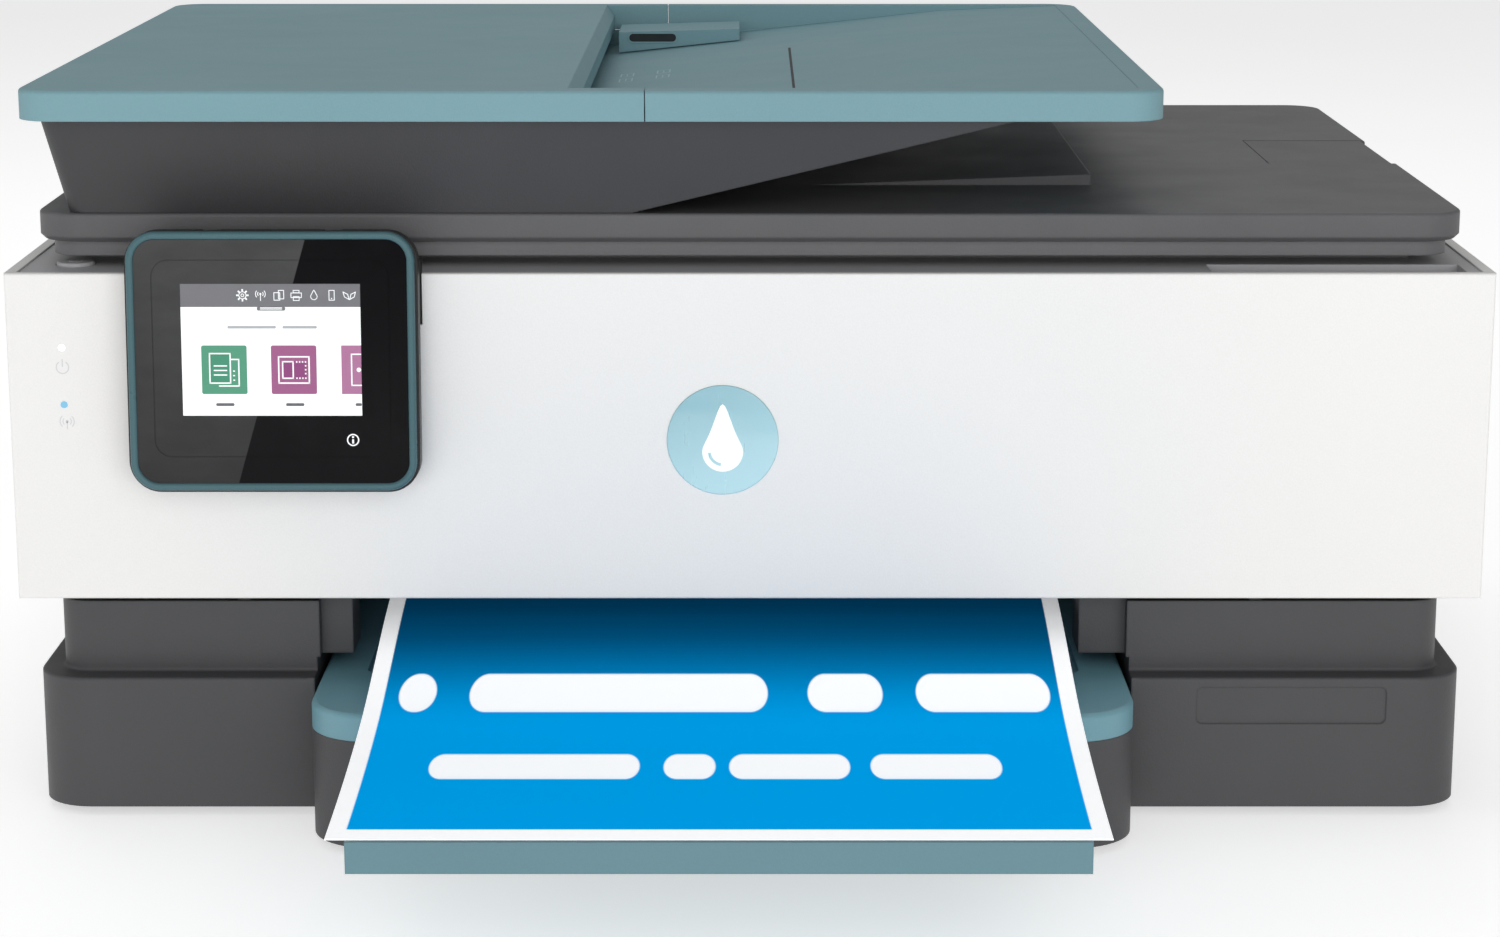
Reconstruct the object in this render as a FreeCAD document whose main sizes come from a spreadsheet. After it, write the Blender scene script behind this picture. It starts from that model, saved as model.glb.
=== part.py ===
"""All-in-one inkjet printer with a document feeder, as a parametric document.

Millimetres. +X is to the right seen from the front, +Y goes from the front to the back, and +Z is up.
The origin lies on the desk, in the middle of the footprint with the paper extender pulled out.
Every size is a cell of the sheet "dims". DERIVED names the planes that pieces share, as formulas of
those cells, and each sub-part is bound to both with expressions.
"""
import FreeCAD, Part
import math
import os
import re
import Sketcher

SIZES = {
    # whole body
    "body_w": 460, "body_d": 338, "front_y": -94, "foot_h": 3, "wall": 2.5, "gap": 0.3, "run": 0.06,
    "seat": 0.2, "lap": 1,
    # base casing: a wide lower block and a narrower skirt under the door
    "base_in": 4, "base_out": 3.2, "base_r": 16.5, "ledge_z": 45.5, "skirt_in": 11, "skirt_back": 5,
    "skirt_r": 10, "skirt_z": 68.5, "plate_w": 60, "plate_h": 12, "plate_x": 171, "plate_z": 36.4,
    "emboss": 0.5,
    # paper tray, its teal cover, the bay it slides in and the extender
    "tray_x": -8.5, "tray_w": 254, "tray_out": 43.7, "tray_len": 294, "tray_r": 20, "bay_gap": 1.8,
    "bay_deep": 285, "cheek_z": 55, "cover_t": 8.5, "cover_len": 183, "cover_rim": 14, "cover_dish": 2.2,
    "floor_rise": 0.7, "floor_t": 2, "ext_w": 205, "ext_t": 3, "ext_len": 120, "ext_out": 106.3,
    "ext_lip_h": 9.1, "ext_skin": 1.2, "ext_play": 0.3, "exit_l": 11, "exit_r": 15.7, "exit_z": 50,
    "exit_in": 10, "exit_deep": 20,
    # paper guides in the tray
    "paper_w": 216, "guide_t": 3, "guide_h": 25, "guide_len": 90, "guide_foot": 38,
    "foot_t": 1.5, "stop_w": 43, "stop_h": 22, "stop_in": 6, "stop_foot": 30,
    # the printed sheet that lies on the extender
    "sheet_t": 0.35, "sheet_back": 127, "sheet_front": 149, "sheet_z": 64.5,
    # front door, side panels, top deck, rear cover
    "door_z": 70.5, "door_h": 103.5, "door_t": 3, "side_t": 3.4, "deck_drop": 0.5, "deck_t": 2.5,
    "axis_back": 3.2, "axis_up": 2.5, "ear_x": 160, "ear_w": 4, "ear_r": 1.8, "pin_r": 1.2,
    "knuckle_r": 2.2, "knuckle_w": 8, "door_skin": 1, "door_swing": 4.4, "tab_t": 2, "tab_deep": 6.5, "tab_inset": 60,
    "rear_t": 3, "grip_l": 143, "grip_r": 222, "grip_d": 17, "grip_h": 7.5, "button_x": 18.4,
    "button_back": 21, "button_r": 6, "button_flange": 1.4, "button_proud": 1.1,
    "badge_r": 17.4, "badge_t": 0.6, "badge_z": 121.6, "light_x": 213, "light_r": 1.2,
    "light_z": 150.8, "light_step": 18, "light_proud": 0.05, "light_deep": 5,
    # back wall: vents, screws and sockets (distance in from the side, bottom, width, height)
    "vent_x": -60, "vent_pitch": 9, "vent_w": 4, "vent_z": 118, "vent_h": 28, "screw_side": 12,
    "screw_low_up": 14, "screw_high_down": 12, "screw_r": 1.5, "screw_head_r": 3.3, "screw_sink": 1.8,
    "screw_len": 9, "inlet_in": 47, "inlet_z": 56, "inlet_w": 26, "inlet_h": 20, "host_in": 139,
    "host_z": 58, "host_w": 14, "host_h": 12, "network_in": 115, "network_z": 56, "network_w": 18,
    "network_h": 15, "line_in": 91, "line_z": 57, "line_w": 14, "line_h": 13, "phone_in": 73,
    "phone_z": 57, "phone_w": 14, "phone_h": 13, "inlet_wall": 2.5, "port_wall": 1.5,
    # tilting control panel, in its own frame with the hinge axis as origin
    "panel_x": -146.3, "panel_back": 2.5, "panel_z": 184, "panel_tilt": 3.6, "panel_w": 88,
    "panel_top": 4.1, "panel_bottom": 75.7, "panel_face": 8.9, "panel_r": 9, "ring_w": 2.4,
    "ring_t": 3.2, "ring_over": 0.8, "shell_back": 1.5, "glass_sink": 0.6, "lcd_w": 54.9,
    "lcd_top": 11.8, "lcd_h": 40.6, "lcd_sink": 0.08, "lcd_t": 3, "cell_l": 5.6, "cell_t": 10.4,
    "cell_b": 8.4, "groove_w": 0.35, "groove_d": 0.25, "arm_x": 16.5, "arm_w": 4.4, "arm_r": 3,
    "arm_play": 0.5, "panel_pin_r": 1.5, "notch_w": 90.2, "notch_h": 16, "yoke_t": 3, "yoke_lip": 8,
    # scanner bed, glass, lamp bar and the lid with its hinges
    "bed_in": 11, "bed_front": 17, "bed_rear": 33, "bed_r": 10, "bed_rim_z": 3.4, "bed_step": 4,
    "tub_side": 25, "tub_front": 38, "tub_rear": 39, "tub_deep": 21.5, "tub_play": 0.3,
    "lid_in": 7, "lid_back": 13, "lid_rear_in": 31.5, "lid_rise": 8.3, "lid_t": 8.9, "lid_r": 13,
    "lid_skin": 2.7, "lid_wall": 4, "lid_gap": 0.4, "lid_round": 1, "lid_chamfer": 1.4,
    "glass_t": 2, "glass_l": 160, "glass_r": 170, "glass_f": 52, "glass_b": 282, "strip_l": 196,
    "strip_r": 176, "glass_ledge": 3, "pad_play": 0.4, "scan_rod_r": 3, "scan_rod_y": 150,
    "head_w": 18, "head_play": 1.4, "head_home": 195,
    "hinge_x": 112, "hinge_w": 18, "hinge_back": 5, "hinge_z": 10.5, "hinge_pin_r": 2,
    "hinge_ear_w": 6, "hinge_ear_r": 4, "hinge_gap": 0.4,
    # document feeder: body, sloping tray, cover, guides, roller
    "adf_in": 4.5, "adf_w": 353, "adf_back": 2, "adf_rear_out": 5.5, "adf_rise": 29.9, "adf_t": 9.4,
    "adf_r": 12, "mouth": 172.5, "arm_len": 21, "rim_w": 8.4, "seam": 0.35, "adf_foot_in": 6.5,
    "adf_head_in": 5, "fin_l": 188.5, "fin_r": 309.5, "chute_l": 165.5,
    "chute_r": 345, "chute_top": 0.8, "chute_t": 2.3, "adf_wall": 6, "adf_floor": 5.3,
    "cover_skin": 2.4, "cover_wall": 3.5, "cover_pin_in": 3, "cover_pin_z": 2.9, "adf_guide_t": 2,
    "adf_guide_f": 49, "adf_guide_b": 265, "adf_guide_len": 46, "adf_guide_h": 8, "adf_guide_low": 4.5,
    "adf_plate_w": 33, "liner": 1, "foot_front": 1, "foot_rear": 4, "adf_roll_x": 24, "adf_roll_r": 7, "adf_shaft_r": 3, "adf_roll_w": 46, "adf_roll_f": 98, "adf_roll_b": 170,
    "ramp_l": 16.6, "ramp_r": 112, "ramp_h": 3.6, "ramp_f": 77, "ramp_b": 285, "flap_l": 44,
    "flap_f": 131, "flap_b": 194, "flap_t": 2, "flap_pin_in": 3, "flap_pin_r": 0.7,
    # print engine
    "plate_l": 30, "plate_r": 50, "plate_t": 1.5, "plate_f": 40, "plate_b": 210, "plate_top": 146,
    "rail_r": 5, "rail_back": 175, "rail_z": 105, "feed_back": 165, "axle_z": 58.5, "feed_r": 5.5,
    "feed_shaft": 3, "eject_r": 5.7, "eject_shaft": 2.5, "gear_m": 1, "feed_teeth": 40,
    "idler_teeth": 70, "eject_teeth": 30, "gear_w": 4.8, "gear_off": 5.2, "idler_pin": 2.5,
    "backlash": 0.25, "star_r": 5, "star_shaft": 1, "star_w": 1.2, "platen_f": 95, "platen_b": 145,
    "platen_t": 4, "rib_w": 2, "rib_pitch": 12, "sheet_gap": 0.3, "car_w": 110, "car_f": 72,
    "car_b": 187.7, "car_z": 69, "car_top": 126, "car_park": 5, "cart_w": 24, "cart_pitch": 26,
    "cart_f": 76, "cart_len": 72, "cart_floor": 13, "cart_play": 0.4, "head_drop": 2.8,
    "belt_back": 197, "pulley_r": 8, "pulley_w": 7, "pulley_z": 108.5, "belt_t": 0.8, "belt_gap": 0.1,
    "motor_r": 11, "motor_h": 22, "motor_in": 14.5, "motor_shaft": 1.5, "pick_back": 175,
    "turn_r": 26, "turn_t": 2.5, "board_in": 30, "board_w": 160, "board_z": 50, "board_h": 82, "board_back": 20, "board_t": 1.6,
    "pick_z": 46, "pick_r": 10, "pick_reach": 30, "pick_shaft": 3, "pick_w": 21,
}

DERIVED = {
    "half_w": "body_w / 2", "rear_y": "front_y + body_d", "top_z": "door_z + door_h",
    "deck_z": "top_z - deck_drop", "deck_under": "deck_z - deck_t", "floor_z": "foot_h + wall",
    "base_hw": "half_w - base_in", "base_front": "front_y - base_out",
    "skirt_hw": "half_w - skirt_in", "skirt_front": "front_y + skirt_back",
    "skirt_rear": "rear_y - base_in", "bay_l": "tray_x - tray_w / 2 - bay_gap",
    "bay_r": "tray_x + tray_w / 2 + bay_gap", "bay_rear": "front_y + bay_deep",
    "tray_l": "tray_x - tray_w / 2", "tray_rt": "tray_x + tray_w / 2",
    "tray_front": "front_y - tray_out", "tray_rear": "tray_front + tray_len",
    "cover_z": "ledge_z - cover_t", "cover_rear": "tray_front + cover_len",
    "tray_floor": "floor_z + floor_rise + floor_t", "ext_z": "cover_z + ext_skin + ext_play",
    "ext_front": "tray_front - ext_out", "hinge_y": "front_y + axis_back",
    "door_axis_z": "door_z + axis_up", "side_in": "half_w - side_t",
    "bed_hw": "half_w - bed_in", "bed_y0": "front_y + bed_front", "bed_y1": "rear_y - bed_rear",
    "tub_hw": "half_w - tub_side", "tub_y0": "front_y + tub_front", "tub_y1": "rear_y - tub_rear",
    "tub_z": "deck_z - tub_deep", "bed_top": "lid_z - lid_gap", "lid_hw": "half_w - lid_in",
    "lid_y0": "front_y + lid_back", "lid_y1": "rear_y - lid_rear_in", "lid_z": "deck_z + lid_rise",
    "lid_top": "lid_z + lid_t", "lid_roof": "lid_top - lid_skin",
    "hinge_ax_y": "lid_y1 + hinge_back", "hinge_ax_z": "deck_z + hinge_z",
    "screw_x": "side_in - screw_side", "screw_low": "ledge_z + screw_low_up",
    "screw_high": "deck_z - screw_high_down",
    "adf_l": "adf_in - half_w", "adf_rt": "adf_l + adf_w", "adf_y0": "front_y + adf_back",
    "adf_y1": "lid_y1 + adf_rear_out", "adf_z": "lid_top + adf_rise", "adf_top": "adf_z + adf_t",
    "mouth_x": "adf_l + mouth", "seam_x": "mouth_x + arm_len", "rim_y0": "adf_y0 + rim_w",
    "rim_y1": "adf_y1 - rim_w", "fin_x0": "adf_l + fin_l", "fin_x1": "adf_l + fin_r",
    "chute_x0": "adf_l + chute_l", "chute_x1": "adf_l + chute_r", "chute_z0": "adf_top - 16",
    "floor_slope": "(adf_top - 1.9 - chute_z0) / (chute_x1 - 45 - chute_x0 - gap)",
    "floor_x": "chute_x0 + gap + (adf_z + gap * 2 - chute_z0) / floor_slope",
    "pivot_x": "adf_l + cover_pin_in", "pivot_z": "adf_z + cover_pin_z",
    "adf_roll_cx": "mouth_x - adf_roll_x", "adf_roll_z": "adf_z - adf_roll_r - 1.6",
    "frame_l": "plate_l - half_w", "frame_r": "half_w - plate_r", "frame_y0": "front_y + plate_f",
    "frame_y1": "front_y + plate_b", "rail_y": "front_y + rail_back",
    "feed_y": "front_y + feed_back", "idler_y": "feed_y - gear_m * (feed_teeth + idler_teeth) / 2",
    "eject_y": "idler_y - gear_m * (idler_teeth + eject_teeth) / 2",
    "gear_x": "frame_l - gear_off - gear_w", "star_z": "sheet_z + sheet_t + sheet_gap + star_r",
    "park_x": "frame_r - plate_t - car_park - car_w / 2", "belt_y": "front_y + belt_back",
    "drive_x": "frame_l + plate_t + motor_in", "idle_x": "frame_r - plate_t - motor_in + 4",
    "pick_y": "front_y + pick_back", "pick_ax_z": "tray_floor + gap + pick_r",
    "rod_y": "front_y + scan_rod_y", "rod_z": "deck_z - 10.5",
    "panel_ax_y": "front_y - panel_back", "shell_front": "ring_t - panel_face",
    "pane_hw": "panel_w / 2 - ring_w", "pane_top": "panel_top - ring_w",
    "pane_bot": "ring_w - panel_bottom", "flap_x0": "lid_hw - flap_l",
    "flap_z": "lid_top - flap_t - 0.1", "flap_ax": "lid_hw - flap_pin_in",
}

DOC = FreeCAD.newDocument("printer")
SHEET = DOC.addObject("Spreadsheet::Sheet", "dims")
NODES = {}


def fill_sheet():
    """One row per size: its name, its value and an alias, so that expressions can read it."""
    for row, (alias, value) in enumerate(SIZES.items(), 1):
        SHEET.set(f"A{row}", alias)
        SHEET.set(f"B{row}", str(value))
        SHEET.setAlias(f"B{row}", alias)
    DOC.recompute()


def expand(formula):
    """Write a formula of size names as one of sheet cells."""
    def swap(match):
        word = match.group(0)
        if word in DERIVED:
            return "(" + expand(DERIVED[word]) + ")"
        return "dims." + word if word in SIZES else word
    return re.sub(r"[A-Za-z_]\w*", swap, str(formula))


def number(formula):
    """The present value of a formula."""
    return float(SHEET.evalExpression(expand(formula)))


def bind(target, prop, formula):
    target.setExpression(prop, expand(formula))


def publish(label, item):
    """Name the object that becomes one node and keep it for export."""
    item.Label = label
    NODES[label] = item
    return item


# ---------------------------------------------------------------- sketch outlines
def fix_point(sketch, shape, end, x, y):
    """Tie a point of a sketch curve to its two coordinates."""
    for kind, formula in (("DistanceX", x), ("DistanceY", y)):
        index = sketch.addConstraint(Sketcher.Constraint(kind, -1, 1, shape, end, number(formula)))
        bind(sketch, f"Constraints[{index}]", formula)


def polygon(*points):
    """A closed outline of straight lines through points given as formulas."""
    def draw(sketch):
        spots = [FreeCAD.Vector(number(x), number(y), 0) for x, y in points]
        lines = [sketch.addGeometry(Part.LineSegment(a, b)) for a, b in zip(spots, spots[1:] + spots[:1])]
        for line, following, (x, y) in zip(lines, lines[1:] + lines[:1], points):
            sketch.addConstraint(Sketcher.Constraint("Coincident", line, 2, following, 1))
            fix_point(sketch, line, 1, x, y)
    return draw


def rectangle(x0, x1, y0, y1):
    return polygon((x0, y0), (x1, y0), (x1, y1), (x0, y1))


def circle(x, y, radius):
    def draw(sketch):
        centre = FreeCAD.Vector(number(x), number(y), 0)
        ring = sketch.addGeometry(Part.Circle(centre, FreeCAD.Vector(0, 0, 1), number(radius)))
        fix_point(sketch, ring, 3, x, y)
        index = sketch.addConstraint(Sketcher.Constraint("Radius", ring, number(radius)))
        bind(sketch, f"Constraints[{index}]", radius)
    return draw


def rounded(x0, x1, y0, y1, radius):
    """A rectangle whose corners are tangent arcs of one radius."""
    def draw(sketch):
        left, right, low, high, r = (number(text) for text in (x0, x1, y0, y1, radius))
        corners = [(right - r, low + r), (right - r, high - r), (left + r, high - r), (left + r, low + r)]
        turns = [-math.pi / 2, 0, math.pi / 2, math.pi]
        arcs = []
        for (cx, cy), turn in zip(corners, turns):
            ring = Part.Circle(FreeCAD.Vector(cx, cy, 0), FreeCAD.Vector(0, 0, 1), r)
            arcs.append(sketch.addGeometry(Part.ArcOfCircle(ring, turn, turn + math.pi / 2)))
        ends = [((left + r, low), (right - r, low)), ((right, low + r), (right, high - r)),
                ((right - r, high), (left + r, high)), ((left, high - r), (left, low + r))]
        lines = []
        for a, b in ends:
            lines.append(sketch.addGeometry(Part.LineSegment(FreeCAD.Vector(*a, 0), FreeCAD.Vector(*b, 0))))
        for i in range(4):
            sketch.addConstraint(Sketcher.Constraint("Tangent", lines[i], 2, arcs[i], 1))
            sketch.addConstraint(Sketcher.Constraint("Tangent", arcs[i], 2, lines[(i + 1) % 4], 1))
            sketch.addConstraint(Sketcher.Constraint("Vertical" if i % 2 else "Horizontal", lines[i]))
            if i:
                sketch.addConstraint(Sketcher.Constraint("Equal", arcs[0], arcs[i]))
        index = sketch.addConstraint(Sketcher.Constraint("Radius", arcs[0], r))
        bind(sketch, f"Constraints[{index}]", radius)
        for line, kind, formula in zip(lines, ("DistanceY", "DistanceX") * 2, (y0, x1, y1, x0)):
            index = sketch.addConstraint(Sketcher.Constraint(kind, -1, 1, line, 1, number(formula)))
            bind(sketch, f"Constraints[{index}]", formula)
    return draw


def lying_at(axis, formula):
    """Pick the edges that lie wholly in one plane across an axis."""
    level = number(formula)

    def pick(edge):
        box = edge.BoundBox
        low, high = getattr(box, axis + "Min"), getattr(box, axis + "Max")
        return abs(low - level) < 1e-3 and abs(high - level) < 1e-3
    return pick


class Piece:
    """One PartDesign body, built by pads and pockets between two planes of an axis."""

    def __init__(self, label):
        self.body = DOC.addObject("PartDesign::Body", label)
        self.body.AllowCompound = True
        publish(label, self.body)

    def feature(self, kind, plane, outlines, start, end):
        sketch = self.body.newObject("Sketcher::SketchObject", "outline")
        datum = [item for item in self.body.Origin.OriginFeatures if item.Role == plane + "_Plane"]
        sketch.AttachmentSupport = (datum[0], "")
        sketch.MapMode = "FlatFace"
        bind(sketch, "AttachmentOffset.Base.z", f"-({start})" if plane == "XZ" else start)
        for outline in outlines if isinstance(outlines, list) else [outlines]:
            outline(sketch)
        solid = self.body.newObject(kind, kind.split("::")[1].lower())
        solid.Profile = sketch
        bind(solid, "Length", f"{end} - ({start})")
        return solid

    def add(self, plane, outlines, start, end):
        """Pad an outline from one plane to another, towards + on its axis."""
        self.feature("PartDesign::Pad", plane, outlines, start, end).Reversed = plane == "XZ"
        return self

    def cut(self, plane, outlines, start, end):
        """Cut an outline away between two planes."""
        self.feature("PartDesign::Pocket", plane, outlines, start, end).Reversed = plane != "XZ"
        return self

    def dress(self, kind, prop, size, pick):
        """Round or bevel the edges that pick chooses."""
        DOC.recompute()
        tip = self.body.Tip
        names = [f"Edge{i}" for i, edge in enumerate(tip.Shape.Edges, 1) if pick(edge)]
        edge_feature = self.body.newObject(kind, "edges")
        edge_feature.Base = (tip, names)
        bind(edge_feature, prop, size)
        return self

    def fillet(self, size, pick):
        return self.dress("PartDesign::Fillet", "Radius", size, pick)

    def chamfer(self, size, pick):
        return self.dress("PartDesign::Chamfer", "Size", size, pick)

    def place(self, x, y, z, turn):
        """Stand the body in the row frame, turned about X by so many degrees."""
        spin = FreeCAD.Rotation(FreeCAD.Vector(1, 0, 0), number(turn))
        self.body.Placement = FreeCAD.Placement(FreeCAD.Vector(0, 0, 0), spin)
        for axis, formula in zip("xyz", (x, y, z)):
            bind(self.body, f"Placement.Base.{axis}", formula)
        return self


def sided(side, near, far):
    """A stretch of X given by its distances from the middle, on the right (1) or left (-1)."""
    return (near, far) if side > 0 else (f"-({far})", f"-({near})")


# ---------------------------------------------------------------- Part primitives for simple pieces
def block(x, y, z):
    """A Part box between formulas, each axis a pair."""
    item = DOC.addObject("Part::Box", "block")
    for axis, prop, (low, high) in zip("xyz", ("Length", "Width", "Height"), (x, y, z)):
        bind(item, prop, f"{high} - ({low})")
        bind(item, f"Placement.Base.{axis}", low)
    return item


def rod(axis, first, second, radius, span):
    """A Part cylinder along X, Y or Z; first and second are its other two coordinates in order."""
    item = DOC.addObject("Part::Cylinder", "rod")
    tilt = {"x": ((0, 1, 0), 90), "y": ((1, 0, 0), -90), "z": ((0, 0, 1), 0)}[axis]
    item.Placement = FreeCAD.Placement(FreeCAD.Vector(0, 0, 0),
                                       FreeCAD.Rotation(FreeCAD.Vector(*tilt[0]), tilt[1]))
    bind(item, "Radius", radius)
    bind(item, "Height", f"{span[1]} - ({span[0]})")
    bind(item, f"Placement.Base.{axis}", span[0])
    for other, formula in zip([name for name in "xyz" if name != axis], (first, second)):
        bind(item, f"Placement.Base.{other}", formula)
    return item


def fused(*items):
    item = DOC.addObject("Part::MultiFuse", "fused")
    item.Shapes = list(items)
    return item


def carved(base, *tools):
    item = DOC.addObject("Part::Cut", "carved")
    item.Base = base
    item.Tool = tools[0] if len(tools) == 1 else fused(*tools)
    return item


def together(*items):
    """Separate solids that share one node."""
    item = DOC.addObject("Part::Compound", "together")
    item.Links = list(items)
    return item


# ---------------------------------------------------------------- casing
def base_housing():
    shell = Piece("base_housing")
    shell.add("XY", rounded("-base_hw", "base_hw", "base_front", "rear_y", "base_r"), "foot_h", "ledge_z")
    shell.add("XY", rounded("-skirt_hw", "skirt_hw", "skirt_front", "skirt_rear", "skirt_r"),
              "ledge_z", "skirt_z")
    shell.fillet("lap", lying_at("Z", "ledge_z"))
    shell.cut("XY", rounded("wall - base_hw", "base_hw - wall", "base_front + wall", "rear_y - wall",
                            "base_r - wall"), "floor_z", "ledge_z - wall")
    shell.cut("XY", rounded("wall - skirt_hw", "skirt_hw - wall", "skirt_front + wall",
                            "skirt_rear - wall", "skirt_r - wall"), "ledge_z - wall", "skirt_z + lap")
    shell.cut("XY", rectangle("bay_l", "bay_r", "base_front - lap", "skirt_front + wall + lap"),
              "floor_z", "skirt_z + lap")
    for inner, outer in (("bay_l - wall", "bay_l"), ("bay_r", "bay_r + wall")):
        shell.add("XY", rectangle(inner, outer, "base_front", "bay_rear"), "floor_z", "ledge_z")
        shell.add("XY", rectangle(inner, outer, "skirt_front", "bay_rear"), "ledge_z", "cheek_z")
    for inner, outer in (("bay_l", "bay_l + exit_l"), ("bay_r - exit_r", "bay_r")):
        shell.add("XY", rectangle(inner, outer, "front_y + exit_in", "front_y + exit_in + exit_deep"),
                  "exit_z", "skirt_z")
    for inner, outer in (("bay_l - wall", "bay_l + lap"), ("bay_r - lap", "bay_r + wall")):
        shell.add("XY", rectangle(inner, outer, "skirt_front", "front_y + exit_in + exit_deep"),
                  "exit_z", "skirt_z")
    shell.cut("XZ", rounded("plate_x - plate_w / 2", "plate_x + plate_w / 2", "plate_z - plate_h / 2",
                            "plate_z + plate_h / 2", "lap * 2"), "base_front - lap", "base_front + emboss")
    for side in (1, -1):
        ear = sided(side, "ear_x - ear_w / 2", "ear_x + ear_w / 2")
        pin = sided(side, "ear_x", "ear_x + ear_w / 2 + knuckle_w")
        shell.add("YZ", polygon(("hinge_y + 3", "skirt_z - 0.5"), ("hinge_y + 5", "skirt_z - 0.5"),
                                ("hinge_y + 5", "door_axis_z + 1.5"), ("hinge_y", "door_axis_z + 1.5"),
                                ("hinge_y", "door_axis_z - 1.5"), ("hinge_y + 3", "door_axis_z - 1.5")), *ear)
        shell.add("YZ", circle("hinge_y", "door_axis_z", "ear_r"), *ear)
        shell.add("YZ", circle("hinge_y", "door_axis_z", "pin_r"), *pin)
    for socket in PORTS:
        x0, x1, z0, z1 = socket_edges(socket)
        shell.cut("XZ", rectangle(f"{x0} - seat", f"{x1} + seat", f"{z0} - seat", f"{z1} + seat"),
                  "skirt_rear - wall - lap", "skirt_rear + lap")
    for side in (-1, 1):
        shell.cut("XZ", circle(f"{side} * screw_x", "screw_low", "screw_r"), "rear_y - screw_len", "rear_y")
    bores = [circle("pick_y", "pick_z", "pick_shaft + run")]
    shell.cut("YZ", bores, "bay_l - wall - lap", "bay_l + lap")
    shell.cut("YZ", bores, "bay_r - lap", "bay_r + wall + lap")


def side_panels():
    """White side walls: a plate, and a flange with a tab that hooks inside the skirt."""
    for side, label in ((-1, "left_side_panel"), (1, "right_side_panel")):
        panel = Piece(label)
        panel.add("XY", rectangle(*sided(side, "side_in", "half_w"), "front_y + door_t + gap",
                                  "rear_y - rear_t"), "door_z", "top_z")
        tab = ("front_y + tab_inset", "rear_y - tab_inset")
        hook = "skirt_hw - wall - gap - tab_t"
        panel.add("XY", rectangle(*sided(side, hook, "side_in + lap"), *tab), "door_z", "door_z + tab_t")
        panel.add("XY", rectangle(*sided(side, hook, "skirt_hw - wall - gap"), *tab),
                  "skirt_z - tab_deep", "door_z + tab_t")
        panel.cut("YZ", circle("hinge_y", "door_axis_z", "door_swing"), *sided(side, "side_in - lap", "half_w + lap"))


def top_deck():
    deck = Piece("top_deck")
    deck.add("XY", rectangle("seat - side_in", "side_in - seat", "front_y + door_t + gap",
                             "rear_y - rear_t - gap"), "deck_under", "deck_z")
    deck.add("XY", rectangle("grip_l - wall", "grip_r + wall", "front_y + door_t + gap",
                             "front_y + door_t + gap + grip_d + wall"), "deck_z - grip_h - wall", "deck_under")
    deck.cut("XY", rectangle("grip_l", "grip_r", "front_y + door_t", "front_y + door_t + gap + grip_d"),
             "deck_z - grip_h", "deck_z + lap")
    deck.cut("XY", rectangle("-tub_hw - tub_play", "tub_hw + tub_play", "tub_y0 - tub_play",
                             "tub_y1 + tub_play"), "deck_under - lap", "deck_z + lap")
    deck.cut("XY", rectangle("panel_x - notch_w / 2 - gap", "panel_x + notch_w / 2 + gap", "front_y + door_t",
                             "front_y + door_t + yoke_t + gap * 2"), "deck_under - lap", "deck_z + lap")
    deck.cut("XY", circle("button_x - half_w", "front_y + button_back", "button_r + gap"),
             "deck_under - lap", "deck_z + lap")


def socket_edges(socket):
    """Left, right, bottom and top of a socket's shell."""
    left = f"{PORTS[socket]} * (half_w - {socket}_in) - {socket}_w / 2"
    return left, f"{left} + {socket}_w", f"{socket}_z", f"{socket}_z + {socket}_h"


# the side of the back that each socket is on: -1 left, 1 right, seen from the front
PORTS = {"inlet": -1, "host": 1, "network": 1, "line": 1, "phone": 1}


def rear_cover():
    """Back wall with vents and the cut-outs that the sockets fill."""
    plate = Piece("rear_cover")
    back = ("rear_y - rear_t", "rear_y")
    cut = ("rear_y - rear_t - lap", "rear_y + lap")
    plate.add("XZ", rectangle("seat - side_in", "side_in - seat", "ledge_z + gap", "deck_z"), *back)
    for i in range(14):
        x = f"vent_x + {i} * vent_pitch"
        plate.cut("XZ", rounded(x, f"{x} + vent_w", "vent_z", "vent_z + vent_h", "vent_w / 2 - 0.1"), *cut)
    for socket in PORTS:
        x0, x1, z0, z1 = socket_edges(socket)
        plate.cut("XZ", rectangle(f"{x0} - seat", f"{x1} + seat", f"{z0} - seat", f"{z1} + seat"), *cut)
    for side in (-1, 1):
        for z in ("screw_low", "screw_high"):
            plate.cut("XZ", circle(f"{side} * screw_x", z, "screw_head_r + gap"), "rear_y - screw_sink", "rear_y + lap")
            plate.cut("XZ", circle(f"{side} * screw_x", z, "screw_r"), *cut)


def case_screws():
    """Four cross-head screws through the back wall; the lower two also bite into the skirt."""
    screws = []
    for side in (-1, 1):
        for z in ("screw_low", "screw_high"):
            x = f"{side} * screw_x"
            head = rod("y", x, z, "screw_head_r", ("rear_y - screw_sink", "rear_y - gap"))
            shank = rod("y", x, z, "screw_r", ("rear_y - screw_len", "rear_y - screw_sink"))
            deep = ("rear_y - screw_sink + 0.7", "rear_y")
            slots = [block((f"{x} - 0.4", f"{x} + 0.4"), deep, (f"{z} - 2", f"{z} + 2")),
                     block((f"{x} - 2", f"{x} + 2"), deep, (f"{z} - 0.4", f"{z} + 0.4"))]
            screws.append(carved(fused(head, shank), *slots))
    publish("case_screws", together(*screws))


def rubber_feet():
    feet = [rod("z", f"{side}*(base_hw - 28)", y, "9", ("0", "foot_h"))
            for side in (-1, 1) for y in ("base_front + 26", "rear_y - 26")]
    publish("rubber_feet", together(*feet))


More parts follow.
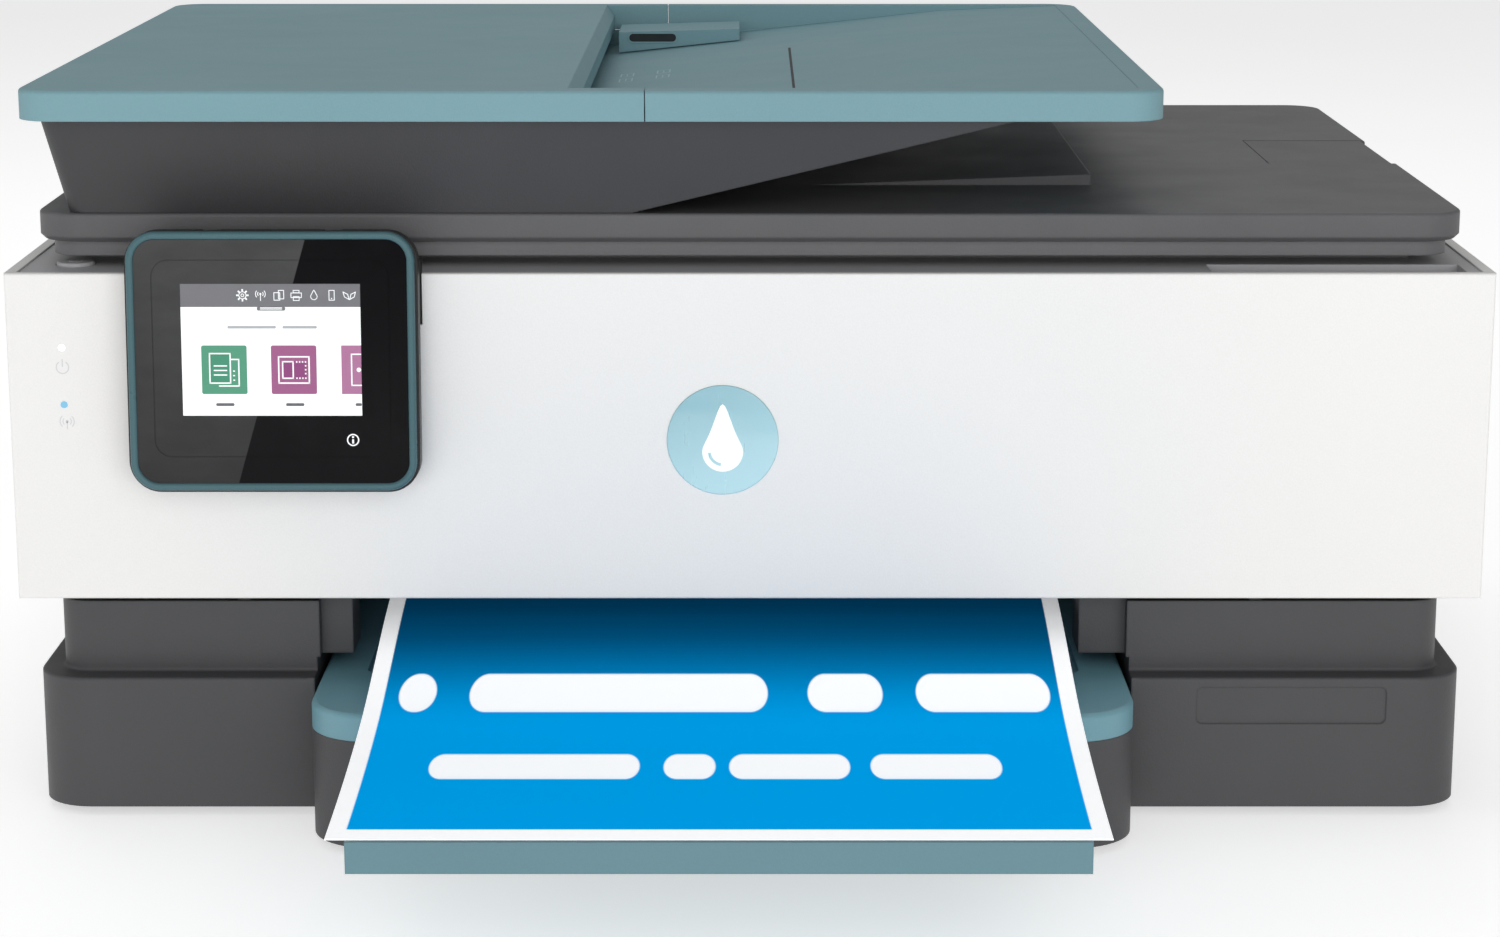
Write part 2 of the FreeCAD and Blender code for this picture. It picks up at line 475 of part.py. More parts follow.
def front_door():
    door = Piece("front_door")
    door.add("XZ", rectangle("-half_w", "half_w", "door_z", "top_z"), "front_y", "front_y + door_t")
    door.fillet("0.7", lying_at("Y", "front_y"))
    notch = ("panel_x - notch_w / 2", "panel_x + notch_w / 2")
    door.cut("XZ", rectangle(*notch, "top_z - notch_h", "top_z + lap"), "front_y - lap",
             "front_y + door_t + lap")
    door.add("XZ", rectangle("4 - skirt_hw", "skirt_hw - 4", "top_z - 26", "top_z - 24"),
             "front_y + door_t", "front_y + door_t + 4")
    for x in ("4 - skirt_hw", "-60", "60", "skirt_hw - 6"):
        door.add("XZ", rectangle(x, f"{x} + 2", "door_z + 12", "top_z - 24"),
                 "front_y + door_t", "front_y + door_t + 4")
    for side in (1, -1):
        knuckle = sided(side, "ear_x + ear_w / 2 + gap", "ear_x + ear_w / 2 + gap + knuckle_w")
        socket = sided(side, "ear_x + ear_w / 2", "ear_x + ear_w / 2 + gap + knuckle_w + lap")
        door.cut("XZ", rectangle(*sided(side, "ear_x - ear_w / 2 - gap", "ear_x + ear_w / 2 + gap"),
                                 "door_z - lap", "door_axis_z + 4.5"), "front_y + door_skin",
                 "front_y + door_t + lap")
        door.add("YZ", circle("hinge_y", "door_axis_z", "knuckle_r"), *knuckle)
        door.cut("YZ", circle("hinge_y", "door_axis_z", "pin_r + run"), *socket)
    for step in (0, 1):
        door.cut("XZ", circle("-light_x", f"light_z - {step} * light_step", "light_r"),
                 "front_y - lap", "front_y + light_deep")


def status_lights():
    lights = [rod("y", "-light_x", f"light_z - {step} * light_step", "light_r",
                  ("front_y - light_proud", "front_y + light_deep")) for step in (0, 1)]
    publish("status_lights", together(*lights))


def door_badge():
    badge = Piece("door_badge")
    badge.add("XZ", circle("tray_x", "badge_z", "badge_r"), "front_y - badge_t", "front_y")
    badge.fillet("0.4", lying_at("Y", "front_y - badge_t"))


def power_button():
    cap = Piece("power_button")
    spot = ("button_x - half_w", "front_y + button_back")
    cap.add("XY", circle(*spot, "button_r"), "deck_under - gap", "deck_z + button_proud")
    cap.fillet("0.8", lying_at("Z", "deck_z + button_proud"))
    cap.add("XY", circle(*spot, "button_r + button_flange"), "deck_under - gap - 1.2", "deck_under - gap")


# ---------------------------------------------------------------- control panel
def tilted(piece):
    """Panel pieces are drawn upright about the hinge axis, then leaned to their rest angle."""
    piece.place("panel_x", "panel_ax_y", "panel_z", "-panel_tilt")


def frame_outline(inset):
    """The panel's rounded front outline, pulled in by a margin."""
    return rounded(f"{inset} - panel_w / 2", f"panel_w / 2 - ({inset})", f"{inset} - panel_bottom",
                   f"panel_top - ({inset})", f"panel_r - ({inset})")


def control_panel():
    shell = Piece("panel_housing")
    shell.add("XZ", rounded("-panel_w / 2 - ring_over", "panel_w / 2 + ring_over",
                            "-panel_bottom - ring_over", "panel_top", "panel_r + ring_over"),
              "shell_front", "shell_back")
    shell.fillet("1.2", lying_at("Y", "shell_back"))
    shell.cut("XZ", rounded("5 - pane_hw", "pane_hw - 5", "pane_bot + 5", "-7", "4"), "shell_front - lap",
              "shell_back - 1.8")
    for side in (1, -1):
        slot = sided(side, "arm_x - arm_play", "arm_x + arm_w + arm_play")
        shell.cut("YZ", rectangle("-arm_r - arm_play", "shell_back + lap", "-arm_r - arm_play", "panel_top + lap"),
                  *slot)
    shell.cut("YZ", circle("0", "0", "panel_pin_r + run"), "-arm_x", "arm_x")
    tilted(shell)

    ring = Piece("panel_ring")
    ring.add("XZ", [frame_outline("0"), frame_outline("ring_w")], "-panel_face", "shell_front")
    ring.fillet("1.1", lying_at("Y", "-panel_face"))
    tilted(ring)

    pane = Piece("touch_glass")
    face = "glass_sink - panel_face"
    lcd = ("-lcd_w / 2", "lcd_w / 2", "-lcd_top - lcd_h", "-lcd_top")
    pane.add("XZ", frame_outline("ring_w"), face, "shell_front")
    pane.cut("XZ", rectangle(*lcd), f"{face} - lap", "shell_front + lap")
    cell = ("cell_l - pane_hw", "pane_hw - cell_l", "pane_bot + cell_b", "pane_top - cell_t + 4")
    wide = [f"{cell[0]} - groove_w", f"{cell[1]} + groove_w", f"{cell[2]} - groove_w", f"{cell[3]} + groove_w"]
    pane.cut("XZ", [rounded(*wide, "5 + groove_w"), rounded(*cell, "5")], f"{face} - lap",
             f"{face} + groove_d")
    tilted(pane)

    screen = Piece("lcd_display")
    screen.add("XZ", rectangle(*lcd), f"{face} + lcd_sink", f"{face} + lcd_sink + lcd_t")
    tilted(screen)


def panel_bracket():
    """Yoke on the door: a plate in the door's notch, a lip behind it and two arms with the pin."""
    yoke = Piece("panel_bracket")
    inner = ("front_y + 0.4", "front_y + door_t + yoke_t")
    yoke.add("XY", rectangle("panel_x - notch_w / 2 + gap", "panel_x + notch_w / 2 - gap", *inner),
             "top_z - notch_h + gap", "top_z + 4")
    yoke.add("XY", rectangle("panel_x - notch_w / 2 - 3", "panel_x + notch_w / 2 + 3", "front_y + door_t",
                             "front_y + door_t + yoke_t"), "top_z - notch_h - yoke_lip", "deck_under - gap")
    for side in (1, -1):
        near, far = sided(side, "arm_x", "arm_x + arm_w")
        span = (f"panel_x + {near}", f"panel_x + {far}")
        yoke.add("YZ", rectangle("front_y + 0.4", "front_y + door_t + 0.6", "top_z", "panel_z + arm_r"), *span)
        yoke.add("YZ", rectangle("panel_ax_y", "front_y + 0.6", "panel_z - arm_r", "panel_z + arm_r"), *span)
        yoke.add("YZ", circle("panel_ax_y", "panel_z", "arm_r"), *span)
    yoke.add("YZ", circle("panel_ax_y", "panel_z", "panel_pin_r"), "panel_x - arm_x - lap",
             "panel_x + arm_x + lap")
    return yoke


# ---------------------------------------------------------------- scanner and its lid
def scanner():
    bed = Piece("scanner_bed")
    bed.add("XY", rectangle("-tub_hw", "tub_hw", "tub_y0", "tub_y1"), "tub_z", "deck_z")
    bed.add("XY", rectangle("-tub_hw - bed_step", "tub_hw + bed_step", "tub_y0 - bed_step",
                            "tub_y1 + 3"), "deck_z", "deck_z + bed_rim_z")
    bed.add("XY", rounded("-bed_hw", "bed_hw", "bed_y0", "bed_y1", "bed_r"), "deck_z + bed_rim_z", "bed_top")
    bed.cut("XY", rectangle("wall - tub_hw", "tub_hw - wall", "tub_y0 + wall", "tub_y1 - wall"),
            "tub_z + wall", "bed_top - glass_t - glass_ledge")
    panes = (("-glass_l", "glass_r"), ("-strip_l", "-strip_r"))
    depth = ("front_y + glass_f", "front_y + glass_b")
    for x0, x1 in panes:
        bed.cut("XY", rectangle(x0, x1, *depth), "bed_top - glass_t", "bed_top + lap")
        bed.cut("XY", rectangle(f"{x0} + glass_ledge", f"{x1} - glass_ledge", f"{depth[0]} + glass_ledge",
                                f"{depth[1]} - glass_ledge"), "bed_top - glass_t - glass_ledge - lap", "bed_top")
    glass = Piece("scanner_glass")
    for x0, x1 in panes:
        glass.add("XY", rectangle(x0, x1, *depth), "bed_top - glass_t", "bed_top")
    publish("scan_rail", rod("x", "rod_y", "rod_z", "scan_rod_r", ("wall - tub_hw", "tub_hw - wall")))
    head = Piece("scan_head")
    head.add("XY", rectangle("-head_home", "head_w - head_home", "tub_y0 + 8", "tub_y1 - 8"),
             "tub_z + wall + 1.2", "bed_top - glass_t - glass_ledge - head_play")
    head.cut("YZ", circle("rod_y", "rod_z", "scan_rod_r + run"), "-head_home - lap", "head_w - head_home + lap")
    head.cut("XY", rectangle("4 - head_home", "head_w - head_home - 4", "tub_y0 + 14", "tub_y1 - 14"),
             "bed_top - glass_t - glass_ledge - head_play - 2", "bed_top")


def scan_lid():
    lid = Piece("scan_lid")
    lid.add("XY", rounded("-lid_hw", "lid_hw", "lid_y0", "lid_y1", "lid_r"), "lid_z", "lid_top")
    lid.fillet("lid_round", lying_at("Z", "lid_top"))
    lid.chamfer("lid_chamfer", lying_at("Z", "lid_z"))
    lid.cut("XY", rounded("lid_wall - lid_hw", "lid_hw - lid_wall", "lid_y0 + lid_wall",
                          "lid_y1 - lid_wall", "lid_r - lid_wall"), "lid_z - lap", "lid_roof")
    lid.add("XZ", polygon(("ramp_l", "lid_top - 0.5"), ("ramp_r", "lid_top - 0.5"), ("ramp_r", "lid_top + ramp_h"),
                          ("ramp_l", "lid_top")), "front_y + ramp_f", "front_y + ramp_b")
    flap = ("front_y + flap_f", "front_y + flap_b")
    lid.cut("XY", rectangle("flap_x0 - 0.5", "lid_hw + lap", *flap), "flap_z - gap * 2", "lid_top + lap")
    lid.cut("XZ", circle("flap_ax", "flap_z + flap_t / 2", "flap_pin_r + run"), f"{flap[0]} - 1.5",
            f"{flap[1]} + 1.5")
    lid.cut("XY", rectangle("-strip_l", "-strip_r", "front_y + glass_f", "front_y + glass_b"),
            "lid_roof - lap", "lid_top + lap")
    for side in (1, -1):
        ear = sided(side, "hinge_x + hinge_w + hinge_gap", "hinge_x + hinge_w + hinge_gap + hinge_ear_w")
        lid.add("YZ", rectangle("lid_y1 - lid_wall", "hinge_ax_y", "hinge_ax_z - 2", "hinge_ax_z + hinge_ear_r"),
                *ear)
        lid.add("YZ", circle("hinge_ax_y", "hinge_ax_z", "hinge_ear_r"), *ear)
        lid.cut("YZ", circle("hinge_ax_y", "hinge_ax_z", "hinge_pin_r + run"), *ear)
    pad = Piece("lid_pad")
    pad.add("XY", rectangle("-glass_l - 8", "glass_r + 8", "front_y + glass_f - 6", "front_y + glass_b + 6"),
            "lid_z + pad_play", "lid_roof")
    flap_piece = Piece("stop_flap")
    flap_piece.add("XY", rectangle("flap_x0", "flap_ax + flap_t / 2", f"{flap[0]} + gap", f"{flap[1]} - gap"),
                   "flap_z", "flap_z + flap_t")
    flap_piece.add("XZ", circle("flap_ax", "flap_z + flap_t / 2", "flap_pin_r"), f"{flap[0]} - 1",
                   f"{flap[1]} + 1")


def lid_hinges():
    """Two pedestals on the deck, each with the pin that a lid ear turns on."""
    stands = []
    for side in (1, -1):
        pedestal = block(sided(side, "hinge_x", "hinge_x + hinge_w"), ("hinge_ax_y - 2.5", "hinge_ax_y + 5"),
                         ("deck_z", "hinge_ax_z + 3"))
        pin = rod("x", "hinge_ax_y", "hinge_ax_z", "hinge_pin_r",
                  sided(side, "hinge_x + hinge_w - lap", "hinge_x + hinge_w + hinge_gap * 2 + hinge_ear_w"))
        stands.append(fused(pedestal, pin))
    publish("lid_hinges", together(*stands))


# ---------------------------------------------------------------- document feeder
def feeder_body():
    """Tapered body with the paper path inside and a slanted underside that leaves room for output."""
    body = Piece("adf_body")
    foot = rounded("adf_l + adf_foot_in * 2", "fin_x1 + 20", "lid_y0 + foot_front", "lid_y1 - foot_rear", "6")
    head = rounded("adf_l + adf_foot_in", "fin_x1 + 20", "adf_y0 + adf_head_in", "lid_y1 - 0.5", "6")
    sketches = []
    for outline, level in ((foot, "lid_top"), (head, "adf_z - gap")):
        sketch = body.body.newObject("Sketcher::SketchObject", "section")
        datum = [item for item in body.body.Origin.OriginFeatures if item.Role == "XY_Plane"]
        sketch.AttachmentSupport = (datum[0], "")
        sketch.MapMode = "FlatFace"
        bind(sketch, "AttachmentOffset.Base.z", level)
        outline(sketch)
        sketches.append(sketch)
    loft = body.body.newObject("PartDesign::AdditiveLoft", "loft")
    loft.Profile = sketches[0]
    loft.Sections = sketches[1:]
    everywhere = ("adf_y0 - lap", "adf_y1 + lap")
    body.cut("XZ", polygon(("fin_x0", "lid_top - lap"), ("fin_x0", "lid_top"), ("fin_x1", "adf_z"),
                           ("fin_x1 + 30", "adf_z"), ("fin_x1 + 30", "lid_top - lap")), *everywhere)
    body.cut("XZ", polygon(("chute_x0", "chute_z0 - chute_t"), ("fin_x1", "adf_z - chute_top"),
                           ("fin_x1 + 30", "adf_z"), ("fin_x1 + 30", "adf_z + lap"),
                           ("chute_x0", "adf_z + lap")), "rim_y0", "rim_y1")
    inside = ("rim_y0 + adf_wall * 2", "rim_y1 - adf_wall * 2")
    body.cut("XY", rectangle("adf_l + adf_foot_in * 2 + adf_wall", "chute_x0 - wall", *inside),
             "lid_top + adf_floor", "adf_z + lap")
    body.cut("XY", rectangle("chute_x0 - wall - lap", "chute_x0 + lap", *inside),
             "chute_z0 - 0.4", "adf_z + lap")
    body.cut("XY", rectangle("chute_x0 - wall - lap", "fin_x0 + 50", *inside),
             "lid_top + adf_floor", "lid_top + adf_floor + 6")
    body.cut("XZ", circle("adf_roll_cx", "adf_roll_z", "adf_shaft_r + run"), f"{inside[0]} - 4", f"{inside[1]} + 4")
    for y in ("adf_y0 + 40", "adf_y1 - 44"):
        ear = (y, f"{y} + 4")
        body.add("XZ", polygon(("pivot_x", "pivot_z - 1.4"), ("pivot_x + 4.4", "pivot_z - 1.4"),
                               ("pivot_x + 4.4", "adf_z - gap - lap"), ("pivot_x + 7", "adf_z - gap - lap"),
                               ("pivot_x + 7", "pivot_z + 1.4"), ("pivot_x", "pivot_z + 1.4")), *ear)
        body.add("XZ", circle("pivot_x", "pivot_z", "ear_r"), *ear)
        body.add("XZ", circle("pivot_x", "pivot_z", "pin_r - 0.2"), f"{y} - 6", f"{y} + 4")


def feeder_tray():
    """Teal input tray: a rimmed plate with a floor that slopes down under the cover."""
    tray = Piece("adf_tray")
    tray.add("XY", rounded("seam_x - adf_r * 2", "adf_rt", "adf_y0", "adf_y1", "adf_r"), "adf_z", "adf_top")
    tray.fillet("1.3", lying_at("Z", "adf_top"))
    tray.cut("XY", rectangle("seam_x - adf_r * 2 - lap", "seam_x", "adf_y0 - lap", "adf_y1 + lap"),
             "adf_z - lap", "adf_top + lap")
    bed = [("chute_x0 + gap", "chute_z0"), ("chute_x1 - 45", "adf_top - 1.9"), ("chute_x1", "adf_top - 0.2")]
    tray.add("XZ", polygon(("chute_x0 + gap", "adf_z - gap"), ("seam_x", "adf_z - gap"), ("seam_x", "adf_z + gap * 2"),
                           ("fin_x1", "adf_z + 5"), ("fin_x1", "adf_z - chute_top + 0.05"),
                           ("chute_x0 + gap", "chute_z0 - chute_t + 0.1")), "rim_y0 + seat", "rim_y1 - seat")
    tray.cut("XZ", polygon(*bed, ("chute_x1", "adf_top + lap"), ("chute_x0", "adf_top + lap"),
                           ("chute_x0", "chute_z0")), "rim_y0 + seat + liner", "rim_y1 - seat - liner")
    tray.cut("XZ", polygon(("seam_x - lap", "adf_z + gap * 2"), ("floor_x", "adf_z + gap * 2"), *bed[1:],
                           ("chute_x1", "adf_top + lap"), ("seam_x - lap", "adf_top + lap")), "rim_y0", "rim_y1")


def feeder_cover():
    """Teal cover over the feed rollers, with two arms that run along the tray's rims."""
    cover = Piece("adf_cover")
    arm_end = "seam_x - seam"
    cover.add("XY", rounded("adf_l", "seam_x + adf_r * 2", "adf_y0", "adf_y1", "adf_r"), "adf_z", "adf_top")
    cover.fillet("1.3", lying_at("Z", "adf_top"))
    cover.cut("XY", rectangle(arm_end, "seam_x + adf_r * 2 + lap", "adf_y0 - lap", "adf_y1 + lap"),
              "adf_z - lap", "adf_top + lap")
    cover.cut("XY", rectangle("mouth_x", "seam_x + lap", "rim_y0", "rim_y1"), "adf_z - lap", "adf_top + lap")
    cover.cut("XY", rounded("adf_l + cover_wall", "mouth_x - 5", "adf_y0 + cover_wall", "adf_y1 - cover_wall",
                            "adf_r - cover_wall"), "adf_z - lap", "adf_top - cover_skin")
    cover.cut("XZ", polygon(("mouth_x - 3", "adf_top + lap"), ("mouth_x - 3", "adf_top"),
                            ("mouth_x", "adf_top - 4"), ("mouth_x + lap", "adf_top + lap")), "rim_y0", "rim_y1")
    for y in ("adf_y0 + 40", "adf_y1 - 44"):
        cover.cut("XY", rectangle("adf_l + door_skin", "adf_l + cover_wall + lap", f"{y} - gap", f"{y} + 4 + gap"),
                  "adf_z - lap", "adf_top - cover_skin")
        cover.add("XZ", circle("pivot_x", "pivot_z", "knuckle_r"), f"{y} - gap - 6", f"{y} - gap")
        cover.add("XZ", rectangle("pivot_x", "pivot_x + knuckle_r", "pivot_z", "adf_top - cover_skin"),
                  f"{y} - gap - 6", f"{y} - gap")
        cover.cut("XZ", circle("pivot_x", "pivot_z", "pin_r - 0.2 + run"), f"{y} - gap - 7", y)


def feeder_guides():
    """Two side guides that slide on the sloping floor: a fence and a grip plate each."""
    def level(x, lift):
        return f"chute_z0 + ({x} - chute_x0) * floor_slope + {lift}"
    x0, x1 = "mouth_x + 3", "mouth_x + 3 + adf_guide_len"
    crest = [(x1, level(x1, "adf_guide_low")), (x0, level(x0, "adf_guide_h"))]
    sides = {"adf_guide_front": (("adf_guide_f - adf_guide_t", "adf_guide_f"), ("adf_guide_f - adf_plate_w", "adf_guide_f")),
             "adf_guide_rear": (("adf_guide_b", "adf_guide_b + adf_guide_t"), ("adf_guide_b", "adf_guide_b + adf_plate_w"))}
    for label, (fence, plate) in sides.items():
        guide = Piece(label)
        guide.add("XZ", polygon((x0, level(x0, "gap")), (x1, level(x1, "gap")), *crest), *[f"front_y + {y}" for y in fence])
        guide.add("XZ", polygon((x0, level(x0, "adf_guide_h - 1.6")), (x1, level(x1, "adf_guide_low - 1.6")), *crest),
                  *[f"front_y + {y}" for y in plate])


def feeder_roller():
    axle = rod("y", "adf_roll_cx", "adf_roll_z", "adf_shaft_r",
               ("rim_y0 + adf_wall * 2 - 3.5", "rim_y1 - adf_wall * 2 + 3.5"))
    tyres = []
    for centre in ("adf_roll_f", "adf_roll_b"):
        span = (f"front_y + {centre} - adf_roll_w / 2 + 8", f"front_y + {centre} + adf_roll_w / 2 - 8")
        tyres.append(carved(rod("y", "adf_roll_cx", "adf_roll_z", "adf_roll_r", span),
                            rod("y", "adf_roll_cx", "adf_roll_z", "adf_shaft_r", span)))
    publish("adf_feed_roller", together(axle, *tyres))


# ---------------------------------------------------------------- trays and paper
def input_tray():
    tray = Piece("input_tray")
    tray.add("XY", rounded("tray_l", "tray_rt", "tray_front", "front_y + 60", "tray_r"), "foot_h", "cover_z")
    tray.cut("XY", rectangle("tray_l - lap", "tray_rt + lap", "base_front - gap", "front_y + 60 + lap"),
             "foot_h - lap", "floor_z + floor_rise")
    tray.add("XY", rectangle("tray_l", "tray_rt", "front_y + 20", "tray_rear"), "floor_z + floor_rise", "cover_z")
    tray.cut("XY", rounded("tray_l + wall", "tray_rt - wall", "tray_front + wall", "tray_rear + tray_r",
                           "tray_r - wall"), "tray_floor", "cover_z + lap")
    for x in ("tray_x - paper_w / 2 + 6", "tray_x + paper_w / 2 - 9"):
        tray.cut("XY", rectangle(x, f"{x} + 3", "front_y + 40", "front_y + 170"), "tray_floor - 1",
                 "tray_floor + lap")


def output_tray():
    cover = Piece("output_tray")
    cover.add("XY", rounded("tray_l", "tray_rt", "tray_front", "cover_rear", "tray_r"), "cover_z", "ledge_z")
    cover.fillet("1.6", lying_at("Z", "ledge_z"))
    cover.cut("XY", rounded("tray_l + cover_rim", "tray_rt - cover_rim", "front_y + 2", "cover_rear - cover_rim / 2",
                            "5"), "ledge_z - cover_dish", "ledge_z + lap")
    cover.cut("XZ", rectangle("tray_x - ext_w / 2 - 1", "tray_x + ext_w / 2 + 1", "ext_z - ext_play",
                              "ext_z + ext_t + ext_play"), "tray_front - lap", "cover_rear + lap")


def output_extender():
    plate = Piece("output_extender")
    edge = ("tray_x - ext_w / 2", "tray_x + ext_w / 2")
    plate.add("XY", rectangle(*edge, "ext_front", "ext_front + ext_len"), "ext_z", "ext_z + ext_t")
    plate.add("XY", rectangle(*edge, "ext_front", "ext_front + 3"), "ext_z + ext_t - ext_lip_h", "ext_z + ext_t")
    plate.cut("XY", rounded("tray_x - 30", "tray_x + 30", "ext_front + 14", "ext_front + 26", "5"),
              "ext_z + ext_t - 0.8", "ext_z + ext_t + lap")


def printed_sheet():
    """The sheet on its way out: level over the platen, then down on to the extender."""
    slope = [("sheet_back", 0), ("104", 0), ("84", 0), ("68", -0.05), ("52", -0.35), ("34", -1.7), ("8", -5.4),
             ("-18", -10.3), ("-46", -15.4), ("-80", -19.3), ("-115", -21.6), ("-sheet_front", -22.7)]
    spots = []
    for y, drop in slope:
        spots.append(FreeCAD.Vector(number("tray_x - paper_w / 2"), number(f"front_y + {y}"),
                                    number(f"sheet_z + {drop}")))
    rise = FreeCAD.Vector(0, 0, number("sheet_t"))
    lower, upper = Part.BSplineCurve(), Part.BSplineCurve()
    lower.interpolate(spots)
    upper.interpolate([spot + rise for spot in spots])
    ends = [Part.makeLine(spots[-1], spots[-1] + rise), Part.makeLine(spots[0] + rise, spots[0])]
    edge = Part.Wire([lower.toShape(), ends[0], upper.toShape(), ends[1]])
    item = DOC.addObject("Part::Feature", "printed_sheet")
    item.Shape = Part.Face(edge).extrude(FreeCAD.Vector(number("paper_w"), 0, 0))
    publish("printed_sheet", item)


def paper_guides():
    bottom = "tray_floor + gap"
    for side, label in ((-1, "width_guide_left"), (1, "width_guide_right")):
        guide = Piece(label)
        fence = sided(side, "paper_w / 2", "paper_w / 2 + guide_t")
        foot = sided(side, "paper_w / 2 - guide_foot", "paper_w / 2 + guide_t")
        reach = ("front_y + 60", "front_y + 60 + guide_len")
        guide.add("XY", rectangle(f"tray_x + {fence[0]}", f"tray_x + {fence[1]}", *reach), bottom,
                  f"{bottom} + guide_h")
        guide.add("XY", rectangle(f"tray_x + {foot[0]}", f"tray_x + {foot[1]}", *reach), bottom,
                  f"{bottom} + foot_t")
    stop = Piece("length_guide")
    wide = ("tray_x - stop_w / 2", "tray_x + stop_w / 2")
    stop.add("XY", rectangle(*wide, "tray_front + stop_in", "tray_front + stop_in + guide_t"), bottom,
             f"{bottom} + stop_h")
    stop.add("XY", rectangle(*wide, "tray_front + stop_in", "tray_front + stop_in + stop_foot"), bottom,
             f"{bottom} + foot_t")


# ---------------------------------------------------------------- print engine
def engine_frame():
    """Folded steel frame: two side plates, a back plate, a star-wheel rail and the pulley shelves."""
    frame = Piece("engine_frame")
    sides = (("frame_l", "frame_l + plate_t"), ("frame_r - plate_t", "frame_r"))
    for x0, x1 in sides:
        frame.add("XY", rectangle(x0, x1, "frame_y0", "frame_y1"), "floor_z", "plate_top")
    frame.add("XY", rectangle("frame_l", "frame_r", "frame_y1 - plate_t", "frame_y1"), "skirt_z + 2", "plate_top")
    frame.add("XY", rectangle("frame_l", "frame_r", "eject_y - 10", "eject_y + 8"), "star_z + 6.8",
              "star_z + 6.8 + plate_t")
    for x in ("tray_x - 115.5", "tray_x + 114"):
        frame.add("XY", rectangle(x, f"{x} + plate_t", "eject_y - 6", "eject_y + 6"), "star_z - 4", "star_z + 7")
    frame.add("XY", rectangle("frame_l", "drive_x + motor_r + 3", "frame_y1 - 30", "frame_y1"), "car_top + 0.5",
              "car_top + 0.5 + plate_t")
    frame.add("XY", rectangle("idle_x - 10", "idle_x + 10", "belt_y - 5", "frame_y1"),
              "pulley_z + pulley_w + 1", "pulley_z + pulley_w + 1 + plate_t")
    frame.add("XY", circle("idle_x", "belt_y", "motor_shaft"), "pulley_z - lap", "pulley_z + pulley_w + 2")
    frame.cut("XY", circle("drive_x", "belt_y", "motor_shaft + 0.8"), "car_top - lap", "car_top + 3")
    frame.cut("YZ", circle("feed_y", "axle_z", "feed_shaft + run"), "frame_l - lap", "frame_r + lap")
    frame.cut("YZ", circle("eject_y", "axle_z", "eject_shaft + run"), "frame_l - lap", "frame_r + lap")
    frame.cut("YZ", circle("eject_y", "star_z", "star_shaft + run"), "tray_x - 117", "tray_x + 117")
    frame.add("YZ", circle("idler_y", "axle_z", "idler_pin"), "gear_x - 0.6", "frame_l + lap")


def gear(teeth, centre_y, phase, bore):
    """An involute spur gear, 20 degree pressure angle, turned so that a tooth points along phase."""
    module, width = number("gear_m"), number("gear_w")
    pitch = module * teeth / 2
    base = pitch * math.cos(math.radians(20))
    root, tip = pitch - 1.25 * module, pitch + module

    def half_angle(radius):
        def roll(angle):
            return math.tan(angle) - angle
        reach = math.acos(min(1, base / max(radius, base)))
        thick = math.pi / (2 * teeth) - number("backlash") / (2 * pitch)
        return thick + roll(math.radians(20)) - roll(reach)
    corners = []
    for tooth in range(teeth):
        middle = phase + 2 * math.pi * tooth / teeth
        for radius, side in ((root, -1), (pitch, -1), (tip, -1), (tip, 1), (pitch, 1), (root, 1)):
            angle = middle + side * half_angle(radius)
            corners.append(FreeCAD.Vector(0, radius * math.cos(angle), radius * math.sin(angle)))
    wheel = Part.Face(Part.makePolygon(corners + corners[:1])).extrude(FreeCAD.Vector(width, 0, 0))
    wheel = wheel.cut(Part.makeCylinder(number(bore), width, FreeCAD.Vector(0, 0, 0), FreeCAD.Vector(1, 0, 0)))
    item = DOC.addObject("Part::Feature", "gear")
    item.Shape = wheel
    item.Placement = FreeCAD.Placement(FreeCAD.Vector(number("gear_x"), number(centre_y), number("axle_z")),
                                       FreeCAD.Rotation())
    return item


def mesh_phases(teeth):
    """Turn each gear of a straight train, front to back, so that its teeth fall in the next one's gaps."""
    phases = [0.0]
    for near, far in zip(teeth, teeth[1:]):
        ahead = math.pi + math.pi / far
        step = 2 * math.pi / near
        offset = (0 - phases[-1] + step / 2) % step - step / 2
        phases.append(ahead + offset * near / far)
    return phases


def sleeves(centres, half, y, radius, shaft):
    rings = []
    for x in centres:
        span = (f"tray_x + {x} - {half}", f"tray_x + {x} + {half}")
        rings.append(carved(rod("x", y, "axle_z", radius, span), rod("x", y, "axle_z", shaft, span)))
    return rings


def rollers_and_gears():
    teeth = [int(number(name)) for name in ("eject_teeth", "idler_teeth", "feed_teeth")]
    eject_phase, idler_phase, feed_phase = mesh_phases(teeth)
    ends = ("gear_x - 0.5", "frame_r + 2")
    feed = rod("x", "feed_y", "axle_z", "feed_shaft", ends)
    publish("feed_roller", together(feed, gear(teeth[2], "feed_y", feed_phase, "feed_shaft"),
                                    *sleeves((-90, -30, 30, 90), 16, "feed_y", "feed_r", "feed_shaft")))
    publish("idler_gear", together(gear(teeth[1], "idler_y", idler_phase, "idler_pin + run")))
    eject = rod("x", "eject_y", "axle_z", "eject_shaft", ends)
    publish("eject_roller", together(eject, gear(teeth[0], "eject_y", eject_phase, "eject_shaft"),
                                     *sleeves((-88, -48, 48, 88), 7, "eject_y", "eject_r", "eject_shaft")))
    wheels = [rod("x", "eject_y", "star_z", "star_r", (f"tray_x + {x} - star_w / 2", f"tray_x + {x} + star_w / 2"))
              for x in (-92, -84, -52, -44, 44, 52, 84, 92)]
    spindle = rod("x", "eject_y", "star_z", "star_shaft", ("tray_x - 116.5", "tray_x + 116.5"))
    publish("star_wheels", fused(spindle, *wheels))


